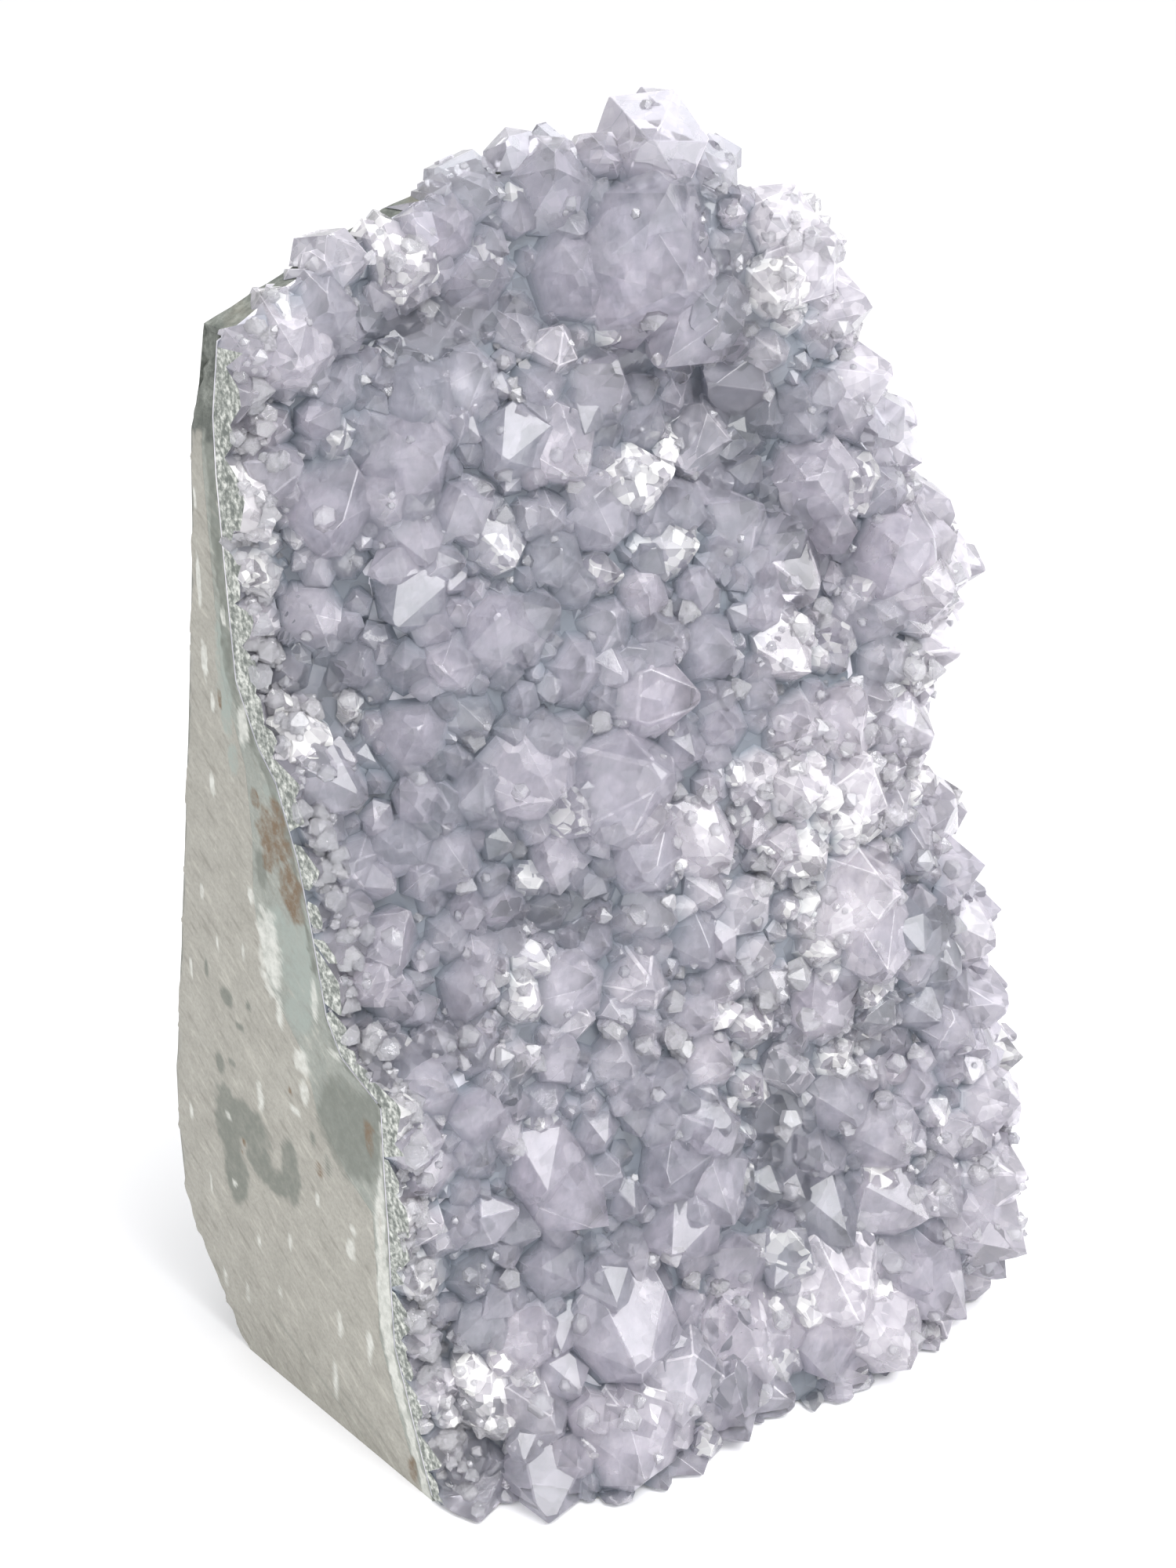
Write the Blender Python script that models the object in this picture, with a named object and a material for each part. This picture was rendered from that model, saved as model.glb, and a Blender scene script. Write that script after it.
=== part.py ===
# Amethyst druse on basalt, sawn flat under the base and down the left side.
# Lengths are millimetres until a mesh is made. The front left corner of the base is
# (0, 0, 0) while the shapes are worked out: x runs along the front, y back, z up.
import bmesh
import bpy
import numpy as np

for stale in list(bpy.data.objects):
    bpy.data.objects.remove(stale, do_unlink=True)

MM = 0.001
GAP = 0.3
BASE_CENTRE = (38.0, 19.0)

# The rock: heights of its left and right top corners, the directions in which the sawn side
# and the right side run back, and how far the front leans back for each unit of height.
SIDE_TOP = 129.7
RIGHT_TOP = 126.0
SIDE_RUN = (-0.2348, 0.972)
RIGHT_RUN = (0.12, 0.972)
LEAN = 0.2455
SETBACK = 1.0
COLUMNS = 8
THIN_ROCK = 4.2
ROCK_BULGE = 6.0
MIDDLE_DEEPER = 0.15
RIGHT_SHALLOWER = 0.3
LUMP = 1.0
SIDE_POINTS = 3
SIDE_BOW = 0.12
SHARP = np.radians(38)

# The bed under the crystals: how far in the sawn outline fades, and how the bed turns back
# near the right edge, from this far inside it and over this width.
BLEND = 22.0
TURN_INSIDE = 9.0
TURN_WIDTH = 14.0
TURN_RATE = 0.03

# The rind is thin, but for the lens at the sawn side, which fades by this share of the width.
THIN_RIND = 1.3
LENS_FADE = 0.3

# The crust: its floor in front of the bed, and how far it wraps round the rock's edges.
CRUST_FLOOR = 2.0
LIP = 3.0
REACH = 20.0
MARGIN = 8.0
ROOM_DEPTH = 70.0

# The crystals: angle of the cap faces off the axis, reach of their faces from the middle or
# the tip for a crystal of unit width, widths of those that fill in, and their spacing.
CAP_POLE = np.radians(51.8)
PRISM_REACH = (0.44, 0.55)
LARGE_CAP_REACH = (-0.05, 0.0)
SMALL_CAP_REACH = (-0.03, 0.07)
SIX_FACED = 0.8
HABITS = 16
SEED = 11
SMALLEST = 6.9
LARGEST = 11.0
SPREAD = 0.86
FILL_TRIES = 5000
FILL_X = (-9.0, 86.0)
FILL_Z = (-2.0, 150.0)
FULL_WIDTH = 1.2
HEAD_OUT = 0.35
HEAD_UP = 0.4
FOOT = 1.0
FOOT_SHARE = 0.9
FOOT_BELOW = 5.0

# Crystals point between the bed's outward direction and this one, which has this weight.
FORWARD = np.array((-0.25, -0.93, 0.27))
FORWARD_WEIGHT = 0.7

# Where the front is looked at from, to place the crystals that are named one by one.
EYE = np.array((-92.0, -219.0, 201.0))

# The sawn side: height, then how far back the crystals, the rind and the rock end.
SIDE_ROWS = (
    (0.0, 0.0, 1.8, 38.4),
    (2.2, 0.9, 3.2, 40.9),
    (8.0, 3.0, 5.6, 45.6),
    (13.4, 4.8, 7.6, 49.5),
    (18.0, 6.5, 9.2, 50.8),
    (26.0, 6.8, 9.2, 51.2),
    (34.5, 6.9, 9.6, 50.8),
    (37.0, 7.1, 14.0, 50.2),
    (43.0, 7.3, 19.6, 49.2),
    (49.4, 7.4, 21.6, 48.1),
    (52.4, 14.4, 24.6, 47.5),
    (56.4, 17.0, 28.2, 46.9),
    (66.0, 19.0, 30.2, 45.2),
    (74.0, 21.0, 29.6, 43.9),
    (82.2, 24.5, 30.2, 42.5),
    (85.4, 27.6, 31.4, 42.0),
    (92.0, 31.2, 33.8, 41.0),
    (99.0, 31.7, 34.2, 39.9),
    (107.8, 32.2, 34.6, 38.7),
    (115.0, 32.6, 34.9, 38.1),
    (121.4, 32.5, 34.6, 37.3),
    (SIDE_TOP, 30.8, 32.5, 35.2),
)

# The rim of the rock over the front: share of the width from left to right, height.
RIM = ((0, SIDE_TOP), (0.09, 133.5), (0.22, 137), (0.38, 141), (0.55, 143), (0.68, 143.5),
       (0.77, 142), (0.86, 138), (0.94, 132), (1, RIGHT_TOP))

# The right edge of the rock: height, x.
RIGHT_EDGE = ((0, 68), (5, 74), (12, 79), (26, 81), (39, 80), (47, 78), (55, 78), (63, 75), (69, 73),
              (78, 74), (89, 77), (100, 76), (108, 73), (118, 69), (RIGHT_TOP, 66))

# Swells and hollows of the crystal bed: x, z, half width, half height, forward by.
SWELLS = (
    (52, 112, 8, 9, -6.5),
    (63, 97, 6, 7, -4.0),
    (16, 128, 11, 4, -4.0),
    (40, 121, 5, 3, -3.0),
    (22, 62, 9, 4, -2.5),
    (52, 30, 7, 10, -3.0),
    (64, 40, 4, 4, -3.0),
    (64, 130, 8, 9, 3.5),
    (44, 132, 8, 8, 3.0),
    (57, 70, 9, 10, 3.0),
    (66, 50, 9, 7, 3.5),
    (19, 1, 15, 13, 9.5),
    (52, 0, 16, 12, 4.0),
    (77, 92, 6, 8, 3.0),
    (80, 15, 8, 12, 2.5),
)

# The large crystals: x and z where the middle of each head is seen on the leaning front,
# width, tilt off the bed's outward direction and clock direction of the tilt in degrees.
CRYSTALS = (
    (45.5, 143.8, 10.5, 10, 290), (33.4, 141.5, 9.0, 15, 330), (45.5, 137.0, 13.5, 15, 0),
    (46.3, 129.5, 13.0, 15, 150), (14.7, 134.0, 7.5, 10, 250), (1.5, 126.5, 8.5, 10, 230),
    (5.5, 131.0, 7.0, 10, 300), (14.7, 121.4, 8.5, 10, 270), (22.2, 122.7, 7.5, 15, 60),
    (45.5, 121.8, 8.5, 45, 235), (60.5, 134.3, 8.0, 20, 280), (60.0, 126.4, 7.5, 15, 210),
    (66.0, 131.0, 9.0, 10, 30), (69.0, 124.0, 9.0, 10, 95), (71.5, 115.5, 10.0, 10, 70),
    (14.7, 114.8, 9.5, 15, 100), (24.3, 113.5, 8.0, 25, 240), (32.0, 111.3, 8.0, 30, 160),
    (46.0, 110.2, 7.5, 50, 240), (3.0, 109.3, 9.5, 15, 200), (62.0, 105.5, 10.5, 15, 300),
    (35.5, 103.5, 7.5, 20, 170), (78.5, 99.5, 9.0, 5, 80), (73.0, 96.0, 12.0, 15, 300),
    (78.0, 90.6, 10.0, 10, 150), (20.5, 96.0, 8.5, 20, 330), (58.0, 85.2, 7.0, 30, 150),
    (-1.5, 87.7, 7.0, 40, 95), (42.6, 84.3, 7.5, 50, 100), (23.8, 77.3, 11.5, 15, 150),
    (36.8, 76.0, 12.0, 20, 60), (73.0, 74.0, 10.5, 10, 135), (45.0, 66.4, 9.5, 20, 120),
    (35.5, 65.6, 8.5, 15, 230), (66.0, 56.5, 12.0, 12, 60), (76.5, 65.0, 8.5, 10, 0),
    (79.0, 56.8, 9.5, 10, 70), (26.0, 54.8, 8.5, 15, 60), (66.3, 47.7, 9.0, 30, 190),
    (56.0, 44.3, 8.5, 20, 270), (80.0, 48.0, 9.5, 10, 180), (81.0, 39.5, 9.0, 10, 120),
    (18.0, 33.5, 9.0, 20, 220), (41.3, 34.3, 7.5, 20, 90), (59.7, 31.0, 7.5, 20, 150),
    (65.5, 24.8, 9.0, 20, 150), (81.5, 26.8, 10.0, 5, 75), (66.8, 16.4, 8.0, 35, 120),
    (81.5, 17.0, 9.0, 10, 60), (80.5, 9.0, 11.0, 10, 160), (41.3, 24.0, 9.0, 20, 180),
    (34.0, 21.5, 9.0, 25, 250), (43.8, 17.7, 7.5, 30, 30), (27.2, 9.5, 13.0, 20, 200),
    (15.0, 15.2, 9.0, 15, 60), (8.0, 7.7, 7.5, 25, 170), (41.3, 9.3, 12.0, 25, 330),
    (56.3, 7.0, 12.0, 20, 180), (53.4, 0.5, 8.5, 35, 200), (71.3, 3.3, 9.5, 35, 150),
    (5.0, -2.5, 8.0, 25, 200), (14.0, -4.5, 10.0, 20, 170), (26.0, -4.0, 10.0, 20, 190),
    (40.0, -2.5, 10.0, 25, 180), (63.0, -0.5, 10.0, 25, 170),
)


def smooth_step(share):
    share = np.clip(share, 0, 1)
    return share * share * (3 - 2 * share)


def side_depth(height, column):
    """How far back one surface of the sawn side is at a height."""
    rows = np.array(SIDE_ROWS)
    return np.interp(height, rows[:, 0], rows[:, column])


def left_edge(height):
    return SIDE_RUN[0] * side_depth(height, 1)


def right_edge(height):
    edge = np.array(RIGHT_EDGE)
    return np.interp(height, edge[:, 0], edge[:, 1])


def bed(x, z):
    """y of the crystal bed: the sawn outline at the left, the leaning plane elsewhere."""
    inward = smooth_step((x - left_edge(z)) / BLEND)
    swell = sum(out * np.exp(-(((x - mid_x) / wide) ** 2) - ((z - mid_z) / high) ** 2)
                for mid_x, mid_z, wide, high, out in SWELLS)
    turned = np.clip(x - right_edge(z) + TURN_INSIDE, 0, TURN_WIDTH) ** 2 * TURN_RATE
    plane = LEAN * z + SETBACK - swell + turned
    return (1 - inward) * SIDE_RUN[1] * side_depth(z, 1) + inward * plane


def bed_normal(x, z):
    """The outward direction of the bed, smoothed over a few millimetres."""
    step = 3.0
    slope_x = (bed(x + step, z) - bed(x - step, z)) / (2 * step)
    slope_z = (bed(x, z + step) - bed(x, z - step)) / (2 * step)
    normal = np.array((slope_x, -1.0, slope_z))
    return normal / np.linalg.norm(normal)


def growth(normal):
    """The direction in which crystals grow: from the bed's normal toward the front."""
    toward = normal + FORWARD * FORWARD_WEIGHT
    return toward / np.linalg.norm(toward)


def front_grid():
    """Points of the bed, one row for each row of the sawn side, and their shares."""
    side = np.array(SIDE_ROWS)[:, 0] / SIDE_TOP
    rim = np.array(RIM)
    up, across = np.meshgrid(side, np.linspace(0, 1, COLUMNS), indexing="ij")
    z = up * np.interp(across, rim[:, 0], rim[:, 1])
    left = left_edge(up * SIDE_TOP)
    x = left + across * (right_edge(up * RIGHT_TOP) - left)
    return np.stack((x, bed(x, z), z), axis=-1), across, up


def run_back(across):
    """The direction that leads back into the rock, turning from the sawn side to the right."""
    x_part = SIDE_RUN[0] * (1 - across) + RIGHT_RUN[0] * across
    return np.stack((x_part, np.full_like(across, SIDE_RUN[1]), np.zeros_like(across)), axis=-1)


def cleared(grid, across, gap):
    """The grid moved back by a gap square to each column, its lowest row kept level."""
    along = np.gradient(grid, axis=0)
    along = along / np.linalg.norm(along[..., 1:], axis=-1, keepdims=True)
    run = run_back(across)
    moved = grid + run * (gap * along[..., 2] / run[..., 1])[..., None]
    moved[1:, :, 2] -= gap * along[1:, :, 1]
    return moved


def room_sheet(grid, run):
    """The grid carried on past the rock's edges, so that crystals wrap them by a lip only."""
    lip = run[-1:] * LIP
    over = ((0, 0, GAP), lip + (0, 0, GAP), lip + (0, LEAN * REACH, REACH))
    grid = np.concatenate([grid[:1] - (0, 0, MARGIN), grid] + [grid[-1:] + step for step in over])
    round_right = ((GAP, 0, 0), (GAP + LIP * 0.5, LIP, 0), (REACH, REACH, 0))
    left = grid[:, :1] - (MARGIN, 0, 0)
    return np.concatenate([left, grid] + [grid[:, -1:] + step for step in round_right], axis=1)


def rind_depth(across, up):
    side = side_depth(up * SIDE_TOP, 2) - side_depth(up * SIDE_TOP, 1)
    return THIN_RIND + (side - THIN_RIND) * np.exp(-across / LENS_FADE)


def back_grid(front, across, up):
    """The broken back: the sawn outline carried across, swollen in the middle, less deep
    at the right, and never nearer to the bed than the thinnest rock."""
    arch = np.sin(np.pi * across)
    plane = LEAN * front[..., 2]
    side = SIDE_RUN[1] * side_depth(up * SIDE_TOP, 3) - LEAN * up * SIDE_TOP
    depth = side * (1 + MIDDLE_DEEPER * arch - RIGHT_SHALLOWER * across**2)
    depth = depth + ROCK_BULGE * arch * np.sin(np.pi * up)
    y = np.maximum(plane + depth + lumps(across, up), front[..., 1] + THIN_ROCK)
    run = run_back(across)
    return front + run * ((y - front[..., 1]) / run[..., 1])[..., None]


def lumps(across, up):
    """Broad unevenness of the broken sides, none at the sawn side."""
    waves = (np.sin(9 * across + 5 * up + 0.6) + np.sin(4 * across - 11 * up)
             + np.sin(14 * up + 3 * across))
    return LUMP * waves * smooth_step(across * 4) * smooth_step(2 - 2 * up)


def make_object(name, points, faces):
    """A mesh object from points in millimetres, with the base centre at the origin."""
    placed = (np.asarray(points, float) - (BASE_CENTRE[0], BASE_CENTRE[1], 0)) * MM
    mesh = bpy.data.meshes.new(name)
    mesh.from_pydata(placed.tolist(), [], faces)
    obj = bpy.data.objects.new(name, mesh)
    bpy.context.scene.collection.objects.link(obj)
    return obj


def ring_solid(name, front, back, bow=0.0):
    """A solid between two grids, closed at the right by points that bow out by a share of
    the depth there, if asked."""
    fractions = np.linspace(0, 1, SIDE_POINTS + 2)[1:-1] if bow else ()
    depth = back[:, -1:] - front[:, -1:]
    right = [front[:, -1:] + depth * part + depth[..., 1:2] * (bow * np.sin(np.pi * part), 0, 0)
             for part in fractions]
    ring = np.concatenate([front] + right + [back[:, ::-1]], axis=1)
    rows, count = ring.shape[:2]
    columns = front.shape[1]
    index = np.arange(rows * count).reshape(rows, count).tolist()
    faces = []
    for row in range(rows - 1):
        for col in range(count):
            low, high, nxt = index[row], index[row + 1], (col + 1) % count
            if col < columns:
                faces += [(low[col], low[nxt], high[nxt]), (low[col], high[nxt], high[col])]
            else:
                faces += [(low[col], low[nxt], high[col]), (low[nxt], high[nxt], high[col])]
    for row, turn in ((index[0], -1), (index[-1], 1)):
        for col in range(columns - 1):
            far = count - 1 - col
            faces.append((row[col], row[col + 1], row[far])[::turn])
            faces.append((row[col + 1], row[far - 1], row[far])[::turn])
        for col in range(columns, count - columns):
            faces.append((row[columns - 1], row[col], row[col + 1])[::turn])
    return make_object(name, ring.reshape(-1, 3), faces)


def boolean(obj, others, operation):
    """Applies one Boolean with every one of the other solids, then removes them. The exact
    solver leaves open edges among so many crossing crystals, so the manifold one is used."""
    group = bpy.data.collections.new("others")
    for other in others:
        group.objects.link(other)
    modifier = obj.modifiers.new("join", "BOOLEAN")
    modifier.operation = operation
    modifier.solver = "MANIFOLD"
    modifier.operand_type = "COLLECTION"
    modifier.collection = group
    graph = bpy.context.evaluated_depsgraph_get()
    mesh = bpy.data.meshes.new_from_object(obj.evaluated_get(graph))
    obj.modifiers.clear()
    obj.data = mesh
    for other in others:
        bpy.data.objects.remove(other, do_unlink=True)
    bpy.data.collections.remove(group)


def crystal_corners(rng):
    """Corners of one crystal of unit width, tip at the origin: six prism faces, a cap of
    three faces or of three large and three small ones, and a foot one unit down."""
    turns = np.arange(6) * np.pi / 3
    flat = np.stack((np.cos(turns), np.sin(turns), np.zeros(6)), axis=1)
    prism_reach = rng.uniform(*PRISM_REACH, 6)
    cap = flat * np.sin(CAP_POLE) + (0, 0, np.cos(CAP_POLE))
    six_faced = rng.uniform() < SIX_FACED
    small_reach = rng.uniform(*SMALL_CAP_REACH, 6) if six_faced else np.ones(6)
    cap_reach = np.where(np.arange(6) % 2, small_reach, rng.uniform(*LARGE_CAP_REACH, 6))
    normals = np.concatenate((flat, cap, ((0, 0, -1.0),)))
    reach = np.concatenate((prism_reach, cap_reach, (FOOT,)))
    trios = np.array([(a, b, c) for a in range(13) for b in range(a) for c in range(b)])
    square = np.abs(np.linalg.det(normals[trios])) > 0.01
    meets = np.linalg.solve(normals[trios[square]], reach[trios[square]][..., None])[..., 0]
    inside = (meets @ normals.T <= reach + 1e-9).all(axis=1)
    return np.unique(np.round(meets[inside], 6), axis=0)


def crystal_mesh(corners):
    """The faces around a set of corners, flat neighbours merged: points and polygons."""
    mesh = bmesh.new()
    for corner in corners:
        mesh.verts.new(corner)
    hull = bmesh.ops.convex_hull(mesh, input=mesh.verts)
    bmesh.ops.dissolve_limit(mesh, angle_limit=0.02, verts=mesh.verts, edges=mesh.edges)
    mesh.verts.index_update()
    points = np.array([vert.co[:] for vert in mesh.verts])
    polygons = [[vert.index for vert in face.verts] for face in mesh.faces]
    mesh.free()
    return points, polygons


def aimed(normal, tilt, clock):
    """The crystal axis: the bed's outward direction tilted toward a clock direction."""
    up = np.array((0, 0, 1.0)) - normal * normal[2]
    up /= np.linalg.norm(up)
    side = np.cross(up, normal)
    tilt, clock = np.radians(tilt), np.radians(clock)
    toward = up * np.cos(clock) + side * np.sin(clock)
    return normal * np.cos(tilt) + toward * np.sin(tilt)


def seen_head(x, z, out):
    """The head that is seen in front of a place of the leaning plane, out from the bed."""
    place = np.array((x, LEAN * z, z))
    sight = (EYE - place) / np.linalg.norm(EYE - place)
    near = 0.0
    for _ in range(12):
        head = place + sight * near
        near += (head[1] - bed(head[0], head[2]) + out) * 0.8
    return place + sight * near


def crystal_list():
    """Head, axis, width, spin and habit of each crystal: those read first, then the rest."""
    rng = np.random.default_rng(SEED)
    found = []
    for x, z, width, tilt, clock in CRYSTALS:
        head = seen_head(x, z, HEAD_OUT * width + 1)
        axis = aimed(growth(bed_normal(head[0], head[2])), tilt, clock)
        found.append((head, axis, width, rng.uniform(0, 2 * np.pi), rng.integers(HABITS)))
    for _ in range(FILL_TRIES):
        x, z = rng.uniform(*FILL_X), rng.uniform(*FILL_Z)
        size, clock = rng.uniform(), rng.uniform(0, 360)
        tilt, spin, habit = abs(rng.normal(0, 20)), rng.uniform(0, 2 * np.pi), rng.integers(HABITS)
        edge = x - left_edge(z)
        if edge < 1.5 or x > right_edge(z) + 3 or z > rim_height(x) - 1:
            continue
        width = SMALLEST + (LARGEST - SMALLEST) * size**2.2 * min(edge / 18, 1)
        normal = bed_normal(x, z)
        head = np.array((x, bed(x, z), z)) + normal * HEAD_OUT * width
        spaces = [np.linalg.norm(head - other[0]) / (width + other[2]) for other in found]
        if min(spaces) > SPREAD / 2:
            found.append((head, aimed(growth(normal), min(tilt, 45), clock), width, spin, habit))
    return found


def rim_height(x):
    """Height of the rock's rim above a place of the front."""
    rim = np.array(RIM)
    left, right = left_edge(SIDE_TOP), right_edge(RIGHT_TOP)
    return np.interp(x, left + rim[:, 0] * (right - left), rim[:, 1])


def crystal_objects():
    """One solid for each crystal, standing through the crust's floor."""
    rng = np.random.default_rng(SEED + 1)
    habits = [crystal_mesh(crystal_corners(rng)) for _ in range(HABITS)]
    crystals = []
    for head, axis, width, spin, habit in crystal_list():
        shape, polygons = habits[habit]
        side = np.cross(axis, (0.3, 0.2, 0.93))
        side /= np.linalg.norm(side)
        turned = side * np.cos(spin) + np.cross(axis, side) * np.sin(spin)
        local = shape * width * FULL_WIDTH
        local[shape[:, 2] < 0.01 - FOOT, 2] = -width * FOOT_SHARE - FOOT_BELOW
        frame = np.stack((turned, np.cross(axis, turned), axis))
        tip = head + axis * width * HEAD_UP
        crystals.append(make_object("crystal", tip + local @ frame, polygons))
    return crystals


def largest_shell(obj):
    """Drops every shell but the one with the most corners, such as a closed pocket."""
    mesh = bmesh.new()
    mesh.from_mesh(obj.data)
    waiting = set(mesh.verts)
    best = set()
    while waiting:
        shell, edge = set(), [waiting.pop()]
        while edge:
            vert = edge.pop()
            shell.add(vert)
            for link in vert.link_edges:
                neighbour = link.other_vert(vert)
                if neighbour in waiting:
                    waiting.discard(neighbour)
                    edge.append(neighbour)
        if len(shell) > len(best):
            best = shell
    bmesh.ops.delete(mesh, geom=[vert for vert in mesh.verts if vert not in best], context="VERTS")
    mesh.to_mesh(obj.data)
    mesh.free()


def block(name, low, high, turn=None):
    """A box between two corners, turned about the upright axis if asked."""
    corners = np.array([(x, y, z) for z in (low[2], high[2]) for y in (low[1], high[1])
                        for x in (low[0], high[0])], float)
    if turn is not None:
        corners[:, :2] = corners[:, :2] @ turn
    faces = [(0, 2, 3, 1), (4, 5, 7, 6), (0, 1, 5, 4), (2, 6, 7, 3), (0, 4, 6, 2), (1, 3, 7, 5)]
    return make_object(name, corners, faces)


def painted(obj, hex_colour, roughness):
    """One Principled material, its colour given as sRGB."""
    material = bpy.data.materials.new(obj.name)
    material.use_nodes = True
    shader = material.node_tree.nodes["Principled BSDF"]
    colour = [(int(hex_colour[i:i + 2], 16) / 255) ** 2.2 for i in (0, 2, 4)]
    shader.inputs["Base Color"].default_value = (*colour, 1)
    shader.inputs["Roughness"].default_value = roughness
    shader.inputs["Metallic"].default_value = 0.0
    obj.data.materials.clear()
    obj.data.materials.append(material)


front, across, up = front_grid()
run = run_back(across)
rind_back = front + run * rind_depth(across, up)[..., None]
rock_front = cleared(rind_back, across, GAP)
rock_back = back_grid(front, across, up)

matrix = ring_solid("basalt_matrix", rock_front, rock_back, SIDE_BOW)
matrix.data.shade_smooth()
matrix.data.set_sharp_from_angle(angle=SHARP)
rind = ring_solid("agate_rind", front, rind_back)

# The crystals and a thin floor under them become one solid, cut clear of the rock.
crust = ring_solid("amethyst_crust", front - run * CRUST_FLOOR, front + run)
boolean(crust, crystal_objects(), "UNION")
room = room_sheet(cleared(front, across, -GAP), run)
turn = np.array(((SIDE_RUN[1], -SIDE_RUN[0]), SIDE_RUN))
boolean(crust, [
    ring_solid("room_for_rock", room, room + (0, ROOM_DEPTH, 0)),
    block("left_of_saw", (-80, -80, -40), (0, 120, 220), turn),
    block("under_base", (-60, -80, -60), (160, 120, 0)),
], "DIFFERENCE")
largest_shell(crust)

painted(matrix, "B9B6AC", 0.85)
painted(rind, "9FAAA4", 0.7)
painted(crust, "A9A5B6", 0.2)
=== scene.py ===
# Amethyst druse on basalt: pale crystals over the leaning front of a piece of rock that is
# sawn flat under the base and down its left side. Lengths in the dictionaries are millimetres.
# The front left corner of the base is (0, 0, 0) there: x along the front, y back, z up.
import time
import bmesh
import bpy
import numpy as np
from mathutils import Matrix, Vector


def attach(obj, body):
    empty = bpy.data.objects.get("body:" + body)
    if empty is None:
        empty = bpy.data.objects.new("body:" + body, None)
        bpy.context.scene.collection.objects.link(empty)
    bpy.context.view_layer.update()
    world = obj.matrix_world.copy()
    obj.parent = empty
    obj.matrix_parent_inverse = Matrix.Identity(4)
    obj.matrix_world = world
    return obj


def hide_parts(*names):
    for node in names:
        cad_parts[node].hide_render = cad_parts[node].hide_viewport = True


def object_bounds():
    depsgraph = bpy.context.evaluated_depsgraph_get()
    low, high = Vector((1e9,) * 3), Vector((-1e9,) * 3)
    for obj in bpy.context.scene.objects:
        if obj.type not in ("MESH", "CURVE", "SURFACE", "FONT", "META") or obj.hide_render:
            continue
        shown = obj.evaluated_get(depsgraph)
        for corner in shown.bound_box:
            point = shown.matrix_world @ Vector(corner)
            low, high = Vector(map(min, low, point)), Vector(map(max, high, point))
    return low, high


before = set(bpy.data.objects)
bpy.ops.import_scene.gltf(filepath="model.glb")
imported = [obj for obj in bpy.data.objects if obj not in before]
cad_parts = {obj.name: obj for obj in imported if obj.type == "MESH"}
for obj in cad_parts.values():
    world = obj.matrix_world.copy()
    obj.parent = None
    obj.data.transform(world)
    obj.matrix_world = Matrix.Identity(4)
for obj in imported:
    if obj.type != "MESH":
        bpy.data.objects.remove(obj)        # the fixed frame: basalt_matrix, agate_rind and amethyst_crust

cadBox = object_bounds()
started = time.time()
mm = 0.001
baseCentre = np.array((38.0, 19.0, 0.0))  # where the frame has its origin


def report(stage):
    print(f"{stage}: {time.time() - started:.0f} s")


# Shape of the rock: the same values that the solids are made from
rock = {
    "sideTop": 129.7,
    "rightTop": 126.0,
    "sideRun": (-0.2348, 0.972),  # direction in which the sawn side runs back
    "rightRun": (0.12, 0.972),
    "lean": 0.2455,  # the front leans back by this much for each unit of height
    "setback": 1.0,
    "blend": 22.0,  # how far in from the sawn side its outline fades
    "turnInside": 9.0,
    "turnWidth": 14.0,
    "turnRate": 0.03,
    # height, then how far back the crystals, the rind and the rock end on the sawn side
    "sideRows": (
        (0.0, 0.0, 1.8, 38.4), (2.2, 0.9, 3.2, 40.9), (8.0, 3.0, 5.6, 45.6), (13.4, 4.8, 7.6, 49.5),
        (18.0, 6.5, 9.2, 50.8), (26.0, 6.8, 9.2, 51.2), (34.5, 6.9, 9.6, 50.8), (37.0, 7.1, 14.0, 50.2),
        (43.0, 7.3, 19.6, 49.2), (49.4, 7.4, 21.6, 48.1), (52.4, 14.4, 24.6, 47.5),
        (56.4, 17.0, 28.2, 46.9), (66.0, 19.0, 30.2, 45.2), (74.0, 21.0, 29.6, 43.9),
        (82.2, 24.5, 30.2, 42.5), (85.4, 27.6, 31.4, 42.0), (92.0, 31.2, 33.8, 41.0),
        (99.0, 31.7, 34.2, 39.9), (107.8, 32.2, 34.6, 38.7), (115.0, 32.6, 34.9, 38.1),
        (121.4, 32.5, 34.6, 37.3), (129.7, 30.8, 32.5, 35.2),
    ),
    # rim over the front: share of the width from left to right, height
    "rim": ((0, 129.7), (0.09, 133.5), (0.22, 137), (0.38, 141), (0.55, 143), (0.68, 143.5),
            (0.77, 142), (0.86, 138), (0.94, 132), (1, 126)),
    # right edge: height, x
    "rightEdge": ((0, 68), (5, 74), (12, 79), (26, 81), (39, 80), (47, 78), (55, 78), (63, 75), (69, 73),
                  (78, 74), (89, 77), (100, 76), (108, 73), (118, 69), (126, 66)),
    # swells and hollows of the crystal bed: x, z, half width, half height, forward by
    "swells": (
        (52, 112, 8, 9, -6.5), (63, 97, 6, 7, -4.0), (16, 128, 11, 4, -4.0), (40, 121, 5, 3, -3.0),
        (22, 62, 9, 4, -2.5), (52, 30, 7, 10, -3.0), (64, 40, 4, 4, -3.0), (64, 130, 8, 9, 3.5),
        (44, 132, 8, 8, 3.0), (57, 70, 9, 10, 3.0), (66, 50, 9, 7, 3.5), (19, 1, 15, 13, 9.5),
        (52, 0, 16, 12, 4.0), (77, 92, 6, 8, 3.0), (80, 15, 8, 12, 2.5),
    ),
}


def smoothStep(share):
    # 3t^2 - 2t^3 of a share held between 0 and 1
    share = np.clip(share, 0, 1)
    return share * share * (3 - 2 * share)


def sideDepth(height, column):
    rows = np.array(rock["sideRows"])
    return np.interp(height, rows[:, 0], rows[:, column])


def leftEdge(height):
    return rock["sideRun"][0] * sideDepth(height, 1)


def rightEdge(height):
    edge = np.array(rock["rightEdge"])
    return np.interp(height, edge[:, 0], edge[:, 1])


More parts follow.
